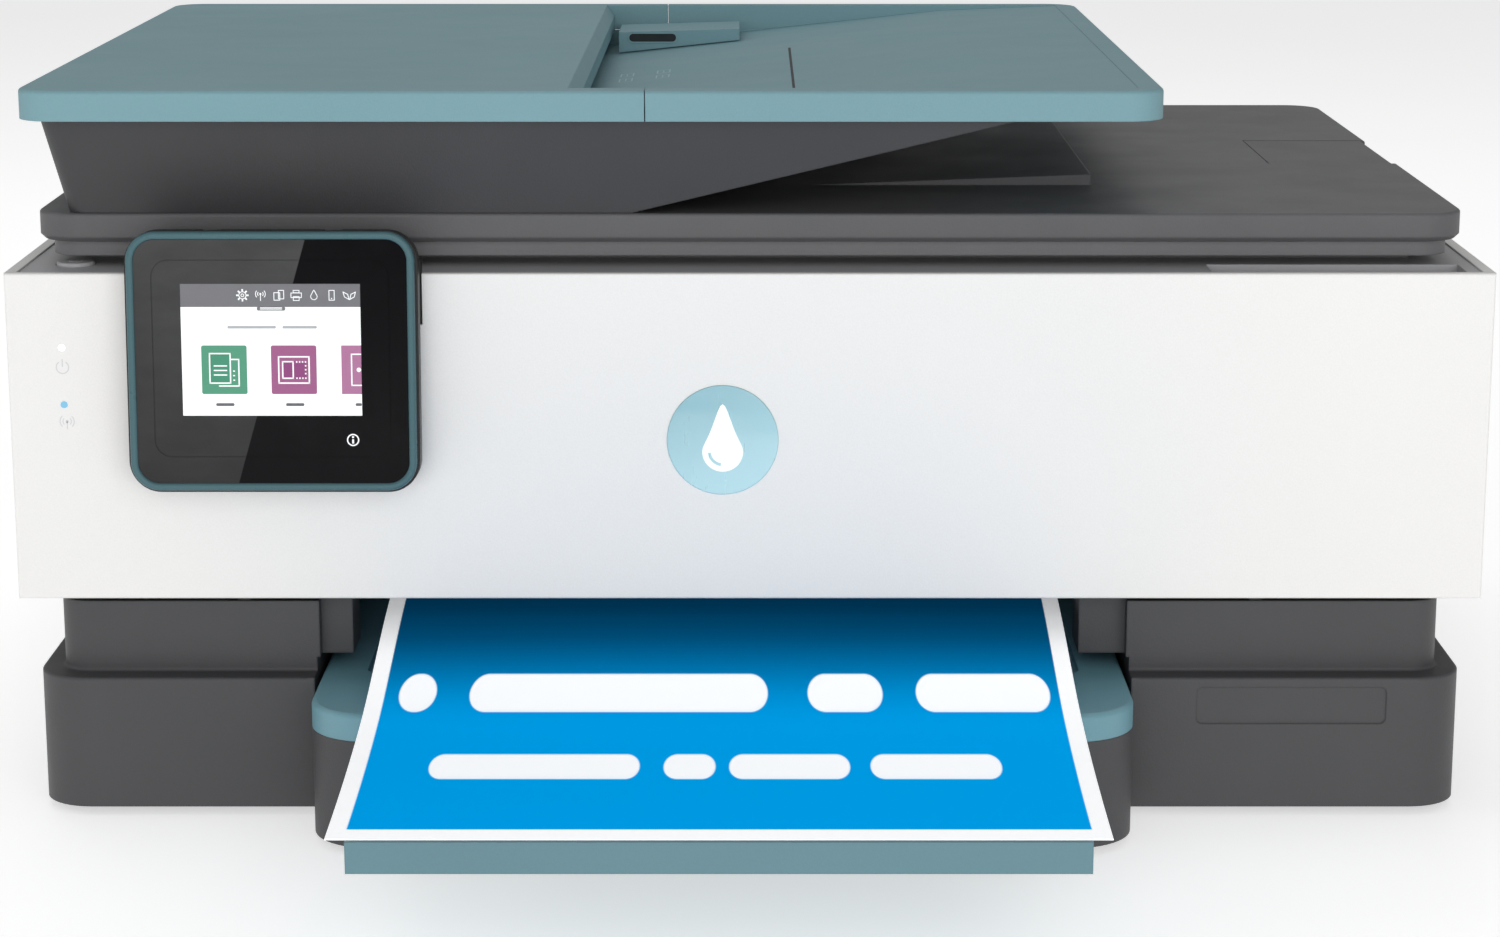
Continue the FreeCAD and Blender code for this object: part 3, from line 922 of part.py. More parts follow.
def platen():
    bed = Piece("platen")
    bed.add("XY", rectangle("frame_l + plate_t", "bay_r + wall", "front_y + platen_f", "front_y + platen_b"),
            "cheek_z", "cheek_z + platen_t")
    for i in range(18):
        x = f"tray_x - paper_w / 2 + 2 + {i} * rib_pitch"
        bed.add("XY", rectangle(x, f"{x} + rib_w", "front_y + platen_f", "front_y + platen_b"),
                "cheek_z + platen_t", "sheet_z - gap")


def carriage():
    body = Piece("carriage")
    near, far = "park_x - car_w / 2", "park_x + car_w / 2"
    body.add("XY", rectangle(near, far, "front_y + car_f", "front_y + car_b"), "car_z", "car_top")
    for i in range(4):
        x = f"park_x + ({i} - 1.5) * cart_pitch"
        body.cut("XY", rectangle(f"{x} - cart_w / 2", f"{x} + cart_w / 2", "front_y + cart_f",
                                 "front_y + cart_f + cart_len"), "car_z + cart_floor", "car_top + lap")
    body.cut("XY", rectangle(f"{near} - lap", f"{far} + lap", "front_y + car_f - lap", "front_y + cart_f"),
             "car_z + 28", "car_top + lap")
    body.cut("YZ", circle("rail_y", "rail_z", "rail_r + run"), f"{near} - lap", f"{far} + lap")
    head = block(("park_x - 42", "park_x + 42"), ("front_y + 92", "front_y + 148"), ("car_z - head_drop", "car_z"))
    publish("printhead", head)
    tanks = []
    for i in range(4):
        x = f"park_x + ({i} - 1.5) * cart_pitch"
        side = (f"{x} - cart_w / 2 + cart_play", f"{x} + cart_w / 2 - cart_play")
        deep = ("front_y + cart_f + cart_play", "front_y + cart_f + cart_len - cart_play")
        tank = block(side, deep, ("car_z + cart_floor", "car_top - 3"))
        grip = block((f"{x} - 5", f"{x} + 5"), (deep[0], f"{deep[0]} + 12"), ("car_top - 4", "car_top - 0.5"))
        tanks.append(fused(tank, grip))
    publish("ink_cartridges", together(*tanks))
    publish("carriage_rail", rod("x", "rail_y", "rail_z", "rail_r", ("frame_l + plate_t", "frame_r - plate_t")))


def carriage_drive():
    """Belt, two pulleys on upright axes and the motor that turns one of them."""
    reach = "pulley_r + belt_gap"
    loops = []
    for radius in (f"{reach} + belt_t", reach):
        loops.append(rounded(f"drive_x - ({radius})", f"idle_x + {radius}", f"belt_y - ({radius})",
                             f"belt_y + {radius}", f"({radius}) * 0.999"))
    belt = Piece("carriage_belt")
    belt.add("XY", loops, "pulley_z + 0.5", "pulley_z + pulley_w - 0.5")
    pulley = rod("z", "drive_x", "belt_y", "pulley_r", ("pulley_z", "pulley_z + pulley_w"))
    shaft = rod("z", "drive_x", "belt_y", "motor_shaft", ("pulley_z", "car_top + 10"))
    publish("drive_pulley", fused(pulley, shaft))
    wheel = ("pulley_z", "pulley_z + pulley_w")
    publish("tension_pulley", carved(rod("z", "idle_x", "belt_y", "pulley_r", wheel),
                                     rod("z", "idle_x", "belt_y", "motor_shaft + run", wheel)))
    deck = "car_top + 0.5 + plate_t"
    motor = rod("z", "drive_x", "belt_y", "motor_r", (deck, f"{deck} + motor_h"))
    publish("carriage_motor", carved(motor, rod("z", "drive_x", "belt_y", "motor_shaft + run", (deck, f"{deck} + 12"))))


def pick_parts():
    """Swinging arm across the bay that holds the pick roller down on the paper."""
    shaft = rod("x", "pick_y", "pick_z", "pick_shaft", ("bay_l - wall + 0.5", "bay_r + wall - 0.5"))
    cheeks = []
    for x0, x1 in (("tray_x - pick_w / 2 - 3", "tray_x - pick_w / 2 - 0.5"),
                   ("tray_x + pick_w / 2 + 0.5", "tray_x + pick_w / 2 + 3")):
        arm = Piece("pick_arm")
        arm.add("YZ", polygon(("pick_y - 5", "pick_z"), ("pick_y + 2", "pick_z + 5"),
                              ("pick_y + pick_reach + 5", "pick_ax_z + 3"), ("pick_y + pick_reach + 3", "pick_ax_z - 4"),
                              ("pick_y + pick_reach - 4", "pick_ax_z - 4")), x0, x1)
        arm.cut("YZ", circle("pick_y + pick_reach", "pick_ax_z", "2 + run"), f"{x0} - lap", f"{x1} + lap")
        cheeks.append(arm.body)
    web = block(("tray_x - pick_w / 2 - 0.6", "tray_x + pick_w / 2 + 0.6"), ("pick_y - 3", "pick_y + 6"),
                ("pick_z - 3", "pick_z + 1"))
    publish("pick_arm", fused(shaft, web, *cheeks))
    wide = ("tray_x - pick_w / 2", "tray_x + pick_w / 2")
    tyre = rod("x", "pick_y + pick_reach", "pick_ax_z", "pick_r", wide)
    stub = rod("x", "pick_y + pick_reach", "pick_ax_z", "2", ("tray_x - pick_w / 2 - 3", "tray_x + pick_w / 2 + 3"))
    publish("pick_roller", fused(tyre, stub))


def turn_guide():
    """C-shaped guide that turns the paper from the tray up to the feed roller."""
    inner, thick = number("turn_r"), number("turn_t")
    y, z = number("tray_rear + 4"), number("sheet_z - turn_r")
    arcs = []
    for radius in (inner, inner + thick):
        ends = [FreeCAD.Vector(0, y + radius * math.cos(turn), z + radius * math.sin(turn))
                for turn in (-math.pi / 3, math.pi / 6, math.pi / 2)]
        arcs.append(Part.Arc(*ends).toShape())
    top = number("sheet_z")
    lip = FreeCAD.Vector(0, number("feed_y + 9"), top)
    up = FreeCAD.Vector(0, 0, thick)
    low, high = arcs[0].Vertexes, arcs[1].Vertexes
    edges = [arcs[0], Part.makeLine(low[1].Point, lip), Part.makeLine(lip, lip + up),
             Part.makeLine(lip + up, high[1].Point), arcs[1], Part.makeLine(high[0].Point, low[0].Point)]
    face = Part.Face(Part.Wire(Part.__sortEdges__(edges)))
    shape = face.extrude(FreeCAD.Vector(number("bay_r - bay_l"), 0, 0))
    item = DOC.addObject("Part::Feature", "turn_guide")
    item.Shape = shape
    item.Placement = FreeCAD.Placement(FreeCAD.Vector(number("bay_l"), 0, 0), FreeCAD.Rotation())
    publish("turn_guide", item)


def service_station():
    sled = Piece("service_station")
    sled.add("XY", rectangle("bay_r + wall + 0.5", "frame_r - plate_t - 0.5", "front_y + 76", "front_y + 150"),
             "floor_z", "sheet_z - 4")
    sled.cut("XY", rectangle("bay_r + wall + 3", "frame_r - plate_t - 3", "front_y + 80", "front_y + 146"),
             "sheet_z - 14", "sheet_z")
    for i in range(4):
        y = f"front_y + 84 + {i} * 15"
        sled.add("XY", rounded("bay_r + wall + 8", "frame_r - plate_t - 8", y, f"{y} + 11", "3"),
                 "sheet_z - 14.5", "sheet_z - 1")


def electronics():
    supply = Piece("power_supply")
    supply.add("XY", rectangle("-base_hw + 14", "bay_l - wall - 6", "rear_y - 122", "rear_y - 20"), "floor_z",
               "floor_z + 44")
    board = Piece("main_board")
    board.add("XZ", rectangle("half_w - board_in - board_w", "half_w - board_in", "board_z", "board_z + board_h"),
              "rear_y - board_back", "rear_y - board_back + board_t")
    chips = ((20, 40, 26, 21), (70, 46, 18, 14), (110, 38, 30, 24), (146, 66, 8, 8))
    for x, z, wide, high in chips:
        corner = f"half_w - board_in - board_w + {x}"
        board.add("XZ", rectangle(corner, f"{corner} + {wide}", f"board_z + {z}", f"board_z + {z + high}"),
                  "rear_y - board_back - 2.5", "rear_y - board_back")
    for x in ("half_w - board_in - board_w + 6", "half_w - board_in - 6"):
        for z in ("board_z + 24", "board_z + board_h - 6"):
            board.add("XZ", circle(x, z, "3"), "rear_y - board_back + board_t", "rear_y - rear_t")
    sockets = []
    for socket in PORTS:
        x0, x1, z0, z1 = socket_edges(socket)
        wall = "inlet_wall" if socket == "inlet" else "port_wall"
        deep = "22" if socket == "inlet" else "board_back - board_t"
        shell = block((x0, x1), (f"rear_y - ({deep})", "rear_y - seat"), (z0, z1))
        well = block((f"{x0} + {wall}", f"{x1} - {wall}"), (f"rear_y - ({deep}) + 5", "rear_y + lap"),
                     (f"{z0} + {wall}", f"{z1} - {wall}"))
        if socket == "inlet":
            pins = [rod("y", x, f"{z0} + inlet_h / 2", "1.2", ("rear_y - 17.5", "rear_y - 4"))
                    for x in (f"{x0} + 9", f"{x1} - 9")]
            publish("power_inlet", fused(carved(shell, well), *pins))
        else:
            sockets.append(carved(shell, well))
    publish("data_ports", together(*sockets))
    publish("feed_motor", rod("x", "feed_y + 29", "34", "14", ("frame_l + plate_t", "frame_l + plate_t + 28")))


BUILDERS = [
    base_housing, side_panels, top_deck, rear_cover, case_screws, rubber_feet, front_door, status_lights,
    door_badge, power_button, control_panel, panel_bracket, scanner, scan_lid, lid_hinges,
    feeder_body, feeder_tray, feeder_cover, feeder_guides, feeder_roller, input_tray, output_tray,
    output_extender, printed_sheet, paper_guides, engine_frame, rollers_and_gears, platen, carriage,
    carriage_drive, pick_parts, turn_guide, service_station, electronics,
]


def check():
    """Stop on a failed object, an empty cut or a node that isn't a valid solid."""
    for item in DOC.Objects:
        if "Invalid" in item.State or "Error" in item.State:
            raise RuntimeError(f"{item.Label} failed: {item.State}")
        if item.isDerivedFrom("PartDesign::Pocket"):
            before = item.BaseFeature.Shape.Volume
            if before - item.Shape.Volume < 1e-3:
                raise RuntimeError(f"a cut of {item.getParentGeoFeatureGroup().Label} removes nothing")
    for label, item in NODES.items():
        if item.Shape.isNull() or not item.Shape.isValid() or not item.Shape.Solids:
            raise RuntimeError(f"{label} isn't a valid solid")


def main():
    fill_sheet()
    for build in BUILDERS:
        build()
        DOC.recompute()
    DOC.recompute()
    check()
    os.makedirs("parts", exist_ok=True)
    for label, item in NODES.items():
        item.Shape.exportStep(f"parts/{label}.step")


main()
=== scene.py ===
import bpy, bmesh, math
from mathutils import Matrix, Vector


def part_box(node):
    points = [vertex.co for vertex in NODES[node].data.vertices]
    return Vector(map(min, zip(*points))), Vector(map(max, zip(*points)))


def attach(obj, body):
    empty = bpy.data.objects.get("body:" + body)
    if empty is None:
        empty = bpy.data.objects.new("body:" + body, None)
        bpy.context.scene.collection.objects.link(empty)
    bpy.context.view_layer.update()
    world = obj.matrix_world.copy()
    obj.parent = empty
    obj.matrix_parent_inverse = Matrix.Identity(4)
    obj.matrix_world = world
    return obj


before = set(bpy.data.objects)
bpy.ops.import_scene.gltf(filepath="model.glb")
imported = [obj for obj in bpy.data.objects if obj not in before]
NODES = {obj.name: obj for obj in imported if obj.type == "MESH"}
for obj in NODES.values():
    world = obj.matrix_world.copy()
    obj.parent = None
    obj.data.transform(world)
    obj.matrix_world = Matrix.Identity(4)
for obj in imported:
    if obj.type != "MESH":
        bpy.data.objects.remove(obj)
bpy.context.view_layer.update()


def mm(*values):
    return Vector([v / 1000 for v in values])


def linear(r, g, b):
    """A display colour, 0 to 255, as linear light."""
    levels = (c / 255 for c in (r, g, b))
    return tuple(((c + 0.055) / 1.055) ** 2.4 if c > 0.0404 else c / 12.92 for c in levels) + (1,)


# ---------------------------------------------------------------- materials
class Nodes:
    """Short names for building one material's node tree."""

    def __init__(self, name):
        self.mat = bpy.data.materials.new(name)
        self.mat.use_nodes = True
        self.tree = self.mat.node_tree
        self.bsdf = self.tree.nodes["Principled BSDF"]
        self.place = self.new("ShaderNodeTexCoord").outputs["Object"]

    def new(self, kind, **settings):
        node = self.tree.nodes.new(kind)
        for key, value in settings.items():
            setattr(node, key, value)
        return node

    def wire(self, source, target):
        if hasattr(source, "is_output"):
            self.tree.links.new(source, target)
        else:
            target.default_value = source
        return target

    def set(self, name, source):
        self.wire(source, self.bsdf.inputs[name])

    def noise(self, scale, detail=2.0, stretch=None, rough=0.5):
        place = self.place
        if stretch:
            mapping = self.new("ShaderNodeMapping")
            self.wire(place, mapping.inputs["Vector"])
            mapping.inputs["Scale"].default_value = stretch
            place = mapping.outputs["Vector"]
        node = self.new("ShaderNodeTexNoise")
        self.wire(place, node.inputs["Vector"])
        node.inputs["Scale"].default_value = scale
        node.inputs["Detail"].default_value = detail
        node.inputs["Roughness"].default_value = rough
        return node.outputs["Fac"]

    def voronoi(self, scale):
        node = self.new("ShaderNodeTexVoronoi", feature="F1")
        self.wire(self.place, node.inputs["Vector"])
        node.inputs["Scale"].default_value = scale
        return node.outputs["Distance"]

    def span(self, value, low, high, out_low, out_high, smooth=False):
        node = self.new("ShaderNodeMapRange", interpolation_type="SMOOTHSTEP" if smooth else "LINEAR")
        self.wire(value, node.inputs["Value"])
        for key, number in (("From Min", low), ("From Max", high), ("To Min", out_low), ("To Max", out_high)):
            self.wire(number, node.inputs[key])
        return node.outputs["Result"]

    def mix(self, factor, a, b, blend="MIX"):
        node = self.new("ShaderNodeMix", data_type="RGBA", blend_type=blend)
        self.wire(factor, node.inputs[0])
        self.wire(a, node.inputs[6])
        self.wire(b, node.inputs[7])
        return node.outputs[2]

    def maths(self, kind, a, b=0.0):
        node = self.new("ShaderNodeMath", operation=kind)
        self.wire(a, node.inputs[0])
        self.wire(b, node.inputs[1])
        return node.outputs[0]

    def axes(self):
        node = self.new("ShaderNodeSeparateXYZ")
        self.wire(self.place, node.inputs[0])
        return node.outputs

    def within(self, value, low, high, soft=0.0002):
        """1 where the value lies between two levels."""
        return self.maths("MULTIPLY", self.span(value, low - soft, low + soft, 0.0, 1.0),
                          self.span(value, high - soft, high + soft, 1.0, 0.0))

    def pill(self, x, y, left, right, level, radius):
        """1 inside a bar with round ends."""
        over = self.maths("MAXIMUM", self.maths("SUBTRACT", left, x), self.maths("SUBTRACT", x, right))
        over = self.maths("MAXIMUM", over, 0.0)
        off = self.maths("MULTIPLY", self.maths("SUBTRACT", y, level), 0.42)
        squares = self.maths("ADD", self.maths("MULTIPLY", over, over), self.maths("MULTIPLY", off, off))
        far = self.maths("SQRT", squares)
        return self.span(far, radius + 0.00025, radius - 0.00025, 0.0, 1.0)

    def edge(self, radius):
        """Rounded shading normal, and a mask that is 1 on outer edges."""
        bevel = self.new("ShaderNodeBevel", samples=4)
        bevel.inputs["Radius"].default_value = radius
        dot = self.new("ShaderNodeVectorMath", operation="DOT_PRODUCT")
        self.wire(bevel.outputs[0], dot.inputs[0])
        self.wire(self.new("ShaderNodeNewGeometry").outputs["Normal"], dot.inputs[1])
        return bevel.outputs[0], self.span(dot.outputs["Value"], 0.98, 0.75, 0.0, 1.0)

    def bump(self, height, strength, depth, normal=None):
        node = self.new("ShaderNodeBump")
        node.inputs["Strength"].default_value = strength
        node.inputs["Distance"].default_value = depth
        self.wire(height, node.inputs["Height"])
        if normal is not None:
            self.wire(normal, node.inputs["Normal"])
        self.set("Normal", node.outputs[0])


def plastic(name, colour, rough=0.5, grain=1500, bump=0.25, vary=0.05, edge=0.0005, edge_highlight=0.12, level=0.5):
    """Moulded plastic: spark-eroded grain, slow shade changes, softly rounded and slightly polished edges, with a
    painted highlight that lightens the outer edges.
    """
    n = Nodes(name)
    dark = tuple(c * (1 - vary) for c in colour[:3]) + (1,)
    light = tuple(min(1, c * (1 + vary)) for c in colour[:3]) + (1,)
    base = n.mix(n.span(n.noise(9, 3), 0.3, 0.7, 0.0, 1.0), dark, light)
    fine = n.span(n.noise(grain, 3, rough=0.65), 0.3, 0.7, 0.0, 1.0)
    base = n.mix(n.span(fine, 0.0, 1.0, 0.0, 0.35), base, tuple(min(1, c * 1.12) for c in colour[:3]) + (1,))
    normal, mask = n.edge(edge)
    # painted highlight: outer edges are mixed towards a lighter colour by the edge mask
    edge_highlight_colour = tuple(min(1, c * 1.35 + 0.02) for c in colour[:3]) + (1,)
    n.set("Base Color", n.mix(n.maths("MULTIPLY", mask, edge_highlight), base, edge_highlight_colour))
    slow = n.span(n.noise(38, 4), 0.3, 0.7, rough - 0.05, rough + 0.05)
    n.set("Roughness", n.maths("SUBTRACT", slow, n.maths("MULTIPLY", mask, 0.08)))
    n.set("Specular IOR Level", level)
    n.bump(fine, bump, 0.00012, normal)
    return n


def metal(name, colour, rough=0.3, stretch=(1, 1, 1), scale=900, edge=0.0003):
    """Drawn or rolled metal with fine lines along one way."""
    n = Nodes(name)
    lines = n.noise(scale, 4, stretch)
    blotch = n.noise(30, 3)
    dark = tuple(c * 0.8 for c in colour[:3]) + (1,)
    n.set("Base Color", n.mix(n.span(blotch, 0.3, 0.7, 0.0, 1.0), dark, colour))
    n.set("Metallic", 1.0)
    n.set("Roughness", n.span(lines, 0.25, 0.75, rough - 0.1, rough + 0.12))
    normal, _ = n.edge(edge)
    n.bump(lines, 0.12, 0.00005, normal)
    return n


def flat(name, colour, rough=0.4, glow=0.0):
    """Printed ink or a lit pixel: even colour with a faint dot screen."""
    n = Nodes(name)
    dots = n.span(n.voronoi(2600), 0.0, 0.8, 1.0, 0.94)
    shade = n.mix(dots, tuple(c * 0.9 for c in colour[:3]) + (1,), colour)
    n.set("Base Color", shade)
    n.set("Roughness", n.span(n.noise(300, 2), 0.3, 0.7, rough - 0.04, rough + 0.04))
    if glow:
        n.set("Emission Color", shade)
        n.set("Emission Strength", glow)
    return n.mat


GREY = linear(65, 65, 67)
TEAL = linear(118, 154, 162)
M = {}
M["graphite"] = plastic("graphite", GREY, 0.52, 1300, 0.35, 0.06, edge=0.0009, edge_highlight=0.3).mat
M["graphite_lid"] = plastic("graphite_lid", linear(86, 86, 88), 0.5, 1500, 0.3, 0.05,
                            edge=0.0009, edge_highlight=0.4).mat
M["graphite_feeder"] = plastic("graphite_feeder", linear(54, 54, 56), 0.5, 1500, 0.3, 0.06).mat
M["graphite_bed"] = plastic("graphite_bed", linear(104, 104, 106), 0.5, 1500, 0.3, 0.05).mat
# painted light: the deck grey is set far lighter than the real dark plastic, to make up for the shade the scan
# lid casts on the deck; the lid hinges and the power button share it
M["deck"] = plastic("deck", linear(172, 172, 174), 0.42, 1500, 0.2, 0.05).mat
M["white"] = plastic("white", linear(228, 227, 225), 0.42, 1700, 0.12, 0.012, edge_highlight=0.0).mat
M["teal"] = plastic("teal", TEAL, 0.48, 1600, 0.2, 0.035, edge_highlight=0.35, level=0.22).mat
M["teal_tray"] = plastic("teal_tray", linear(104, 148, 160), 0.42, 1600, 0.2, 0.035, edge_highlight=0.35).mat
M["teal_lip"] = plastic("teal_lip", linear(92, 128, 138), 0.42, 1600, 0.2, 0.035, edge_highlight=0.35).mat
M["ring"] = plastic("ring", linear(68, 100, 106), 0.3, 1800, 0.06, 0.03, edge_highlight=0.25, level=0.3).mat
M["black"] = plastic("black", linear(26, 26, 27), 0.45, 1500, 0.25, 0.08).mat
M["rubber"] = plastic("rubber", linear(34, 34, 35), 0.85, 900, 0.6, 0.12, edge_highlight=0.0, level=0.25).mat
M["gear"] = plastic("gear", linear(222, 220, 210), 0.4, 2000, 0.08, 0.02, edge=0.0002).mat
M["foam"] = plastic("foam", linear(232, 232, 230), 0.9, 700, 0.8, 0.03, edge_highlight=0.0, level=0.2).mat
M["ink_shell"] = plastic("ink_shell", linear(38, 40, 44), 0.35, 1500, 0.1, 0.05).mat
M["steel"] = metal("steel", linear(205, 206, 208), 0.25, (0.03, 1, 1)).mat
M["sheet_steel"] = metal("sheet_steel", linear(182, 184, 188), 0.38, (1, 0.08, 1), 500).mat


def board_material():
    """Green lacquer with raised copper tracks."""
    n = Nodes("board")
    tracks = n.maths("GREATER_THAN", n.noise(240, 0, (1, 1, 0.12)), 0.54)
    n.set("Base Color", n.mix(tracks, linear(18, 78, 44), linear(30, 104, 60)))
    n.set("Roughness", n.span(n.noise(200, 2), 0.3, 0.7, 0.28, 0.4))
    n.bump(tracks, 0.3, 0.0001)
    return n.mat


def glass_material():
    """Slightly green float glass."""
    n = Nodes("platen_glass")
    n.set("Base Color", linear(205, 222, 218))
    n.set("Transmission Weight", 0.92)
    n.set("IOR", 1.46)
    n.set("Roughness", n.span(n.noise(60, 4), 0.45, 0.8, 0.0, 0.06))
    return n.mat


def touch_material():
    """Polished black pane with the long diagonal reflection of a soft box, and faint finger smears."""
    n = Nodes("touch_pane")
    x, y, z = n.axes()
    middle = (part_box("touch_glass")[0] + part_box("touch_glass")[1]) / 2
    lean = n.maths("MULTIPLY", n.maths("SUBTRACT", z, middle.z), 0.29)
    slant = n.maths("SUBTRACT", n.maths("SUBTRACT", x, middle.x), lean)
    mask = n.span(slant, 0.0001, -0.0001, 0.0, 1.0)
    glow = n.span(z, middle.z - 0.04, middle.z + 0.03, 0.030, 0.062)
    smear = n.span(n.noise(55, 5, (1, 1, 2.2)), 0.35, 0.75, 0.85, 1.1)
    shade = n.maths("MULTIPLY", n.maths("MULTIPLY", glow, smear), mask)
    tint = n.new("ShaderNodeCombineColor")
    for i, lift in enumerate((0.0042, 0.004, 0.0048)):
        n.wire(n.maths("ADD", shade, lift), tint.inputs[i])
    n.set("Base Color", tint.outputs[0])
    n.set("Roughness", n.span(n.noise(90, 4), 0.3, 0.7, 0.06, 0.16))
    n.set("Specular IOR Level", 0.08)
    return n.mat


def badge_material():
    """Tinted metal foil that shades from light to deep teal, with streaks of painted sheen in its colour and fine
    streaks in its roughness.
    """
    n = Nodes("badge")
    low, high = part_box("door_badge")
    x, y, z = n.axes()
    fall = n.span(n.maths("ADD", z, n.maths("MULTIPLY", x, -0.35)), low.z, high.z + 0.006, 0.0, 1.0, True)
    shade = n.mix(fall, linear(176, 220, 229), linear(112, 168, 182))
    shine = n.span(n.noise(5, 2, (1, 1, 9)), 0.42, 0.62, 0.0, 0.4, True)
    n.set("Base Color", n.mix(shine, shade, linear(196, 222, 226)))
    n.set("Metallic", 0.25)
    n.set("Roughness", n.span(n.noise(800, 3, (1, 1, 0.1)), 0.3, 0.7, 0.26, 0.4))
    return n.mat


def sheet_material():
    """Glossy print: a blue field with white margins on white paper; the blue carries painted shade that darkens
    it towards the exit under the door, and the whole print glows a little as painted light.
    """
    n = Nodes("printed_paper")
    low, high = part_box("printed_sheet")
    x, y, z = n.axes()
    field = n.maths("MULTIPLY", n.within(x, low.x + 0.0052, high.x - 0.0052),
                    n.within(y, low.y + 0.0075, high.y + 0.01))
    # painted shade: the blue darkens towards the exit, where the door overhangs the sheet
    shade = n.span(y, low.y + 0.085, low.y + 0.150, 0.0, 1.0, True)
    blue = n.mix(shade, linear(0, 170, 250), linear(0, 88, 136))
    band = n.span(n.noise(2.2, 1, (1, 0.6, 1)), 0.4, 0.65, 0.0, 0.14, True)
    blue = n.mix(band, blue, linear(0, 172, 250))
    # two rows of plain rounded bars where the print has its heading
    blank = n.maths("SUBTRACT", 1.0, field)
    for across, back, words in ((5.4, 0.111, ((-101.5, -101), (-80, 0), (23, 35), (56, 86))),
                                (4.0, 0.057, ((-89, -36), (-21, -14), (-2, 25), (39, 69)))):
        for left, right in words:
            bar = n.pill(x, y, left / 1000, right / 1000, low.y + back, across / 1000)
            blue = n.mix(bar, blue, linear(248, 250, 252))
            blank = n.maths("MAXIMUM", blank, bar)
    tooth = n.noise(900, 4)
    paper = n.mix(n.span(tooth, 0.3, 0.7, 0.0, 1.0), linear(244, 245, 247), linear(252, 253, 254))
    print_colour = n.mix(field, paper, blue)
    n.set("Base Color", print_colour)
    # painted light: the print glows though it is no lamp, the paper and white bars at full print colour and the
    # blue field at 0.42 of it
    n.set("Emission Color", n.mix(blank, n.mix(0.58, print_colour, (0, 0, 0, 1)), print_colour))
    n.set("Emission Strength", 0.36)
    n.set("Roughness", n.span(field, 0.0, 1.0, 0.62, 0.5))
    n.set("Specular IOR Level", 0.0)
    n.bump(tooth, 0.08, 0.00005)
    return n.mat


def screen_material():
    """A lit display with a faint cell pattern."""
    n = Nodes("screen_lit")
    cells = n.span(n.voronoi(3200), 0.0, 0.7, 1.0, 0.965)
    shade = n.mix(cells, linear(225, 232, 232), linear(250, 252, 251))
    n.set("Base Color", shade)
    n.set("Emission Color", shade)
    n.set("Emission Strength", 0.12)
    n.set("Roughness", n.span(n.noise(90, 3), 0.3, 0.7, 0.12, 0.2))
    return n.mat


def belt_material():
    """Black rubber with teeth across it."""
    n = plastic("belt", linear(30, 30, 31), 0.8, 900, 0.3, 0.1, edge_highlight=0.0, level=0.2)
    wave = n.new("ShaderNodeTexWave", bands_direction="X")
    n.wire(n.place, wave.inputs["Vector"])
    wave.inputs["Scale"].default_value = 155
    n.bump(wave.outputs["Fac"], 0.8, 0.0006)
    return n.mat


M["board"], M["glass"], M["touch"] = board_material(), glass_material(), touch_material()
M["badge"], M["sheet"] = badge_material(), sheet_material()
M["screen"], M["belt"] = screen_material(), belt_material()
M["lamp"] = flat("lamp", linear(250, 251, 252), 0.2, 0.25)

LOOKS = {
    "graphite": "base_housing input_tray rear_cover",
    "graphite_lid": "scan_lid stop_flap", "graphite_feeder": "adf_body", "graphite_bed": "scanner_bed",
    "deck": "top_deck lid_hinges power_button",
    "white": "left_side_panel right_side_panel front_door",
    "teal": "adf_cover adf_tray adf_guide_front adf_guide_rear",
    "teal_tray": "output_tray", "teal_lip": "output_extender",
    "ring": "panel_ring", "touch": "touch_glass", "screen": "lcd_display", "badge": "door_badge",
    "black": "panel_housing panel_bracket platen turn_guide service_station power_supply power_inlet scan_head"
             " carriage pick_arm width_guide_left width_guide_right length_guide",
    "rubber": "rubber_feet adf_feed_roller pick_roller",
    "gear": "idler_gear drive_pulley tension_pulley",
    "foam": "lid_pad", "ink_shell": "ink_cartridges", "board": "main_board", "glass": "scanner_glass",
    "steel": "case_screws scan_rail carriage_rail feed_roller eject_roller star_wheels printhead",
    "sheet_steel": "engine_frame carriage_motor feed_motor data_ports",
    "belt": "carriage_belt", "sheet": "printed_sheet", "lamp": "status_lights",
}
for look, names in LOOKS.items():
    for name in names.split():
        NODES[name].data.materials.clear()
        NODES[name].data.materials.append(M[look])


# ---------------------------------------------------------------- thin printed and moulded details
def rect(x0, x1, z0, z1):
    return [[(x0, z0), (x1, z0), (x1, z1), (x0, z1)]]


def rrect(x0, x1, z0, z1, r, steps=6):
    loop = []
    corners = ((x1 - r, z0 + r, -90), (x1 - r, z1 - r, 0), (x0 + r, z1 - r, 90), (x0 + r, z0 + r, 180))
    for cx, cz, turn in corners:
        for i in range(steps + 1):
            a = math.radians(turn + 90 * i / steps)
            loop.append((cx + r * math.cos(a), cz + r * math.sin(a)))
    return [loop]


def polar(x, z, r, degrees):
    a = math.radians(degrees)
    return x + r * math.cos(a), z + r * math.sin(a)


def ring(x, z, outer, inner, start=0, end=360, steps=40):
    quads = []
    for i in range(steps):
        a, b = (start + (end - start) * k / steps for k in (i, i + 1))
        quads.append([polar(x, z, inner, a), polar(x, z, outer, a), polar(x, z, outer, b), polar(x, z, inner, b)])
    return quads


def arcs(x, z, r, width, spread, steps):
    """Two arcs that face right and left."""
    shapes = []
    for turn in (0, 180):
        shapes += ring(x, z, r + width / 2, r - width / 2, turn - spread, turn + spread, steps)
    return shapes


def disc(x, z, r, steps=28):
    return [[polar(x, z, r, 360 * i / steps) for i in range(steps)]]


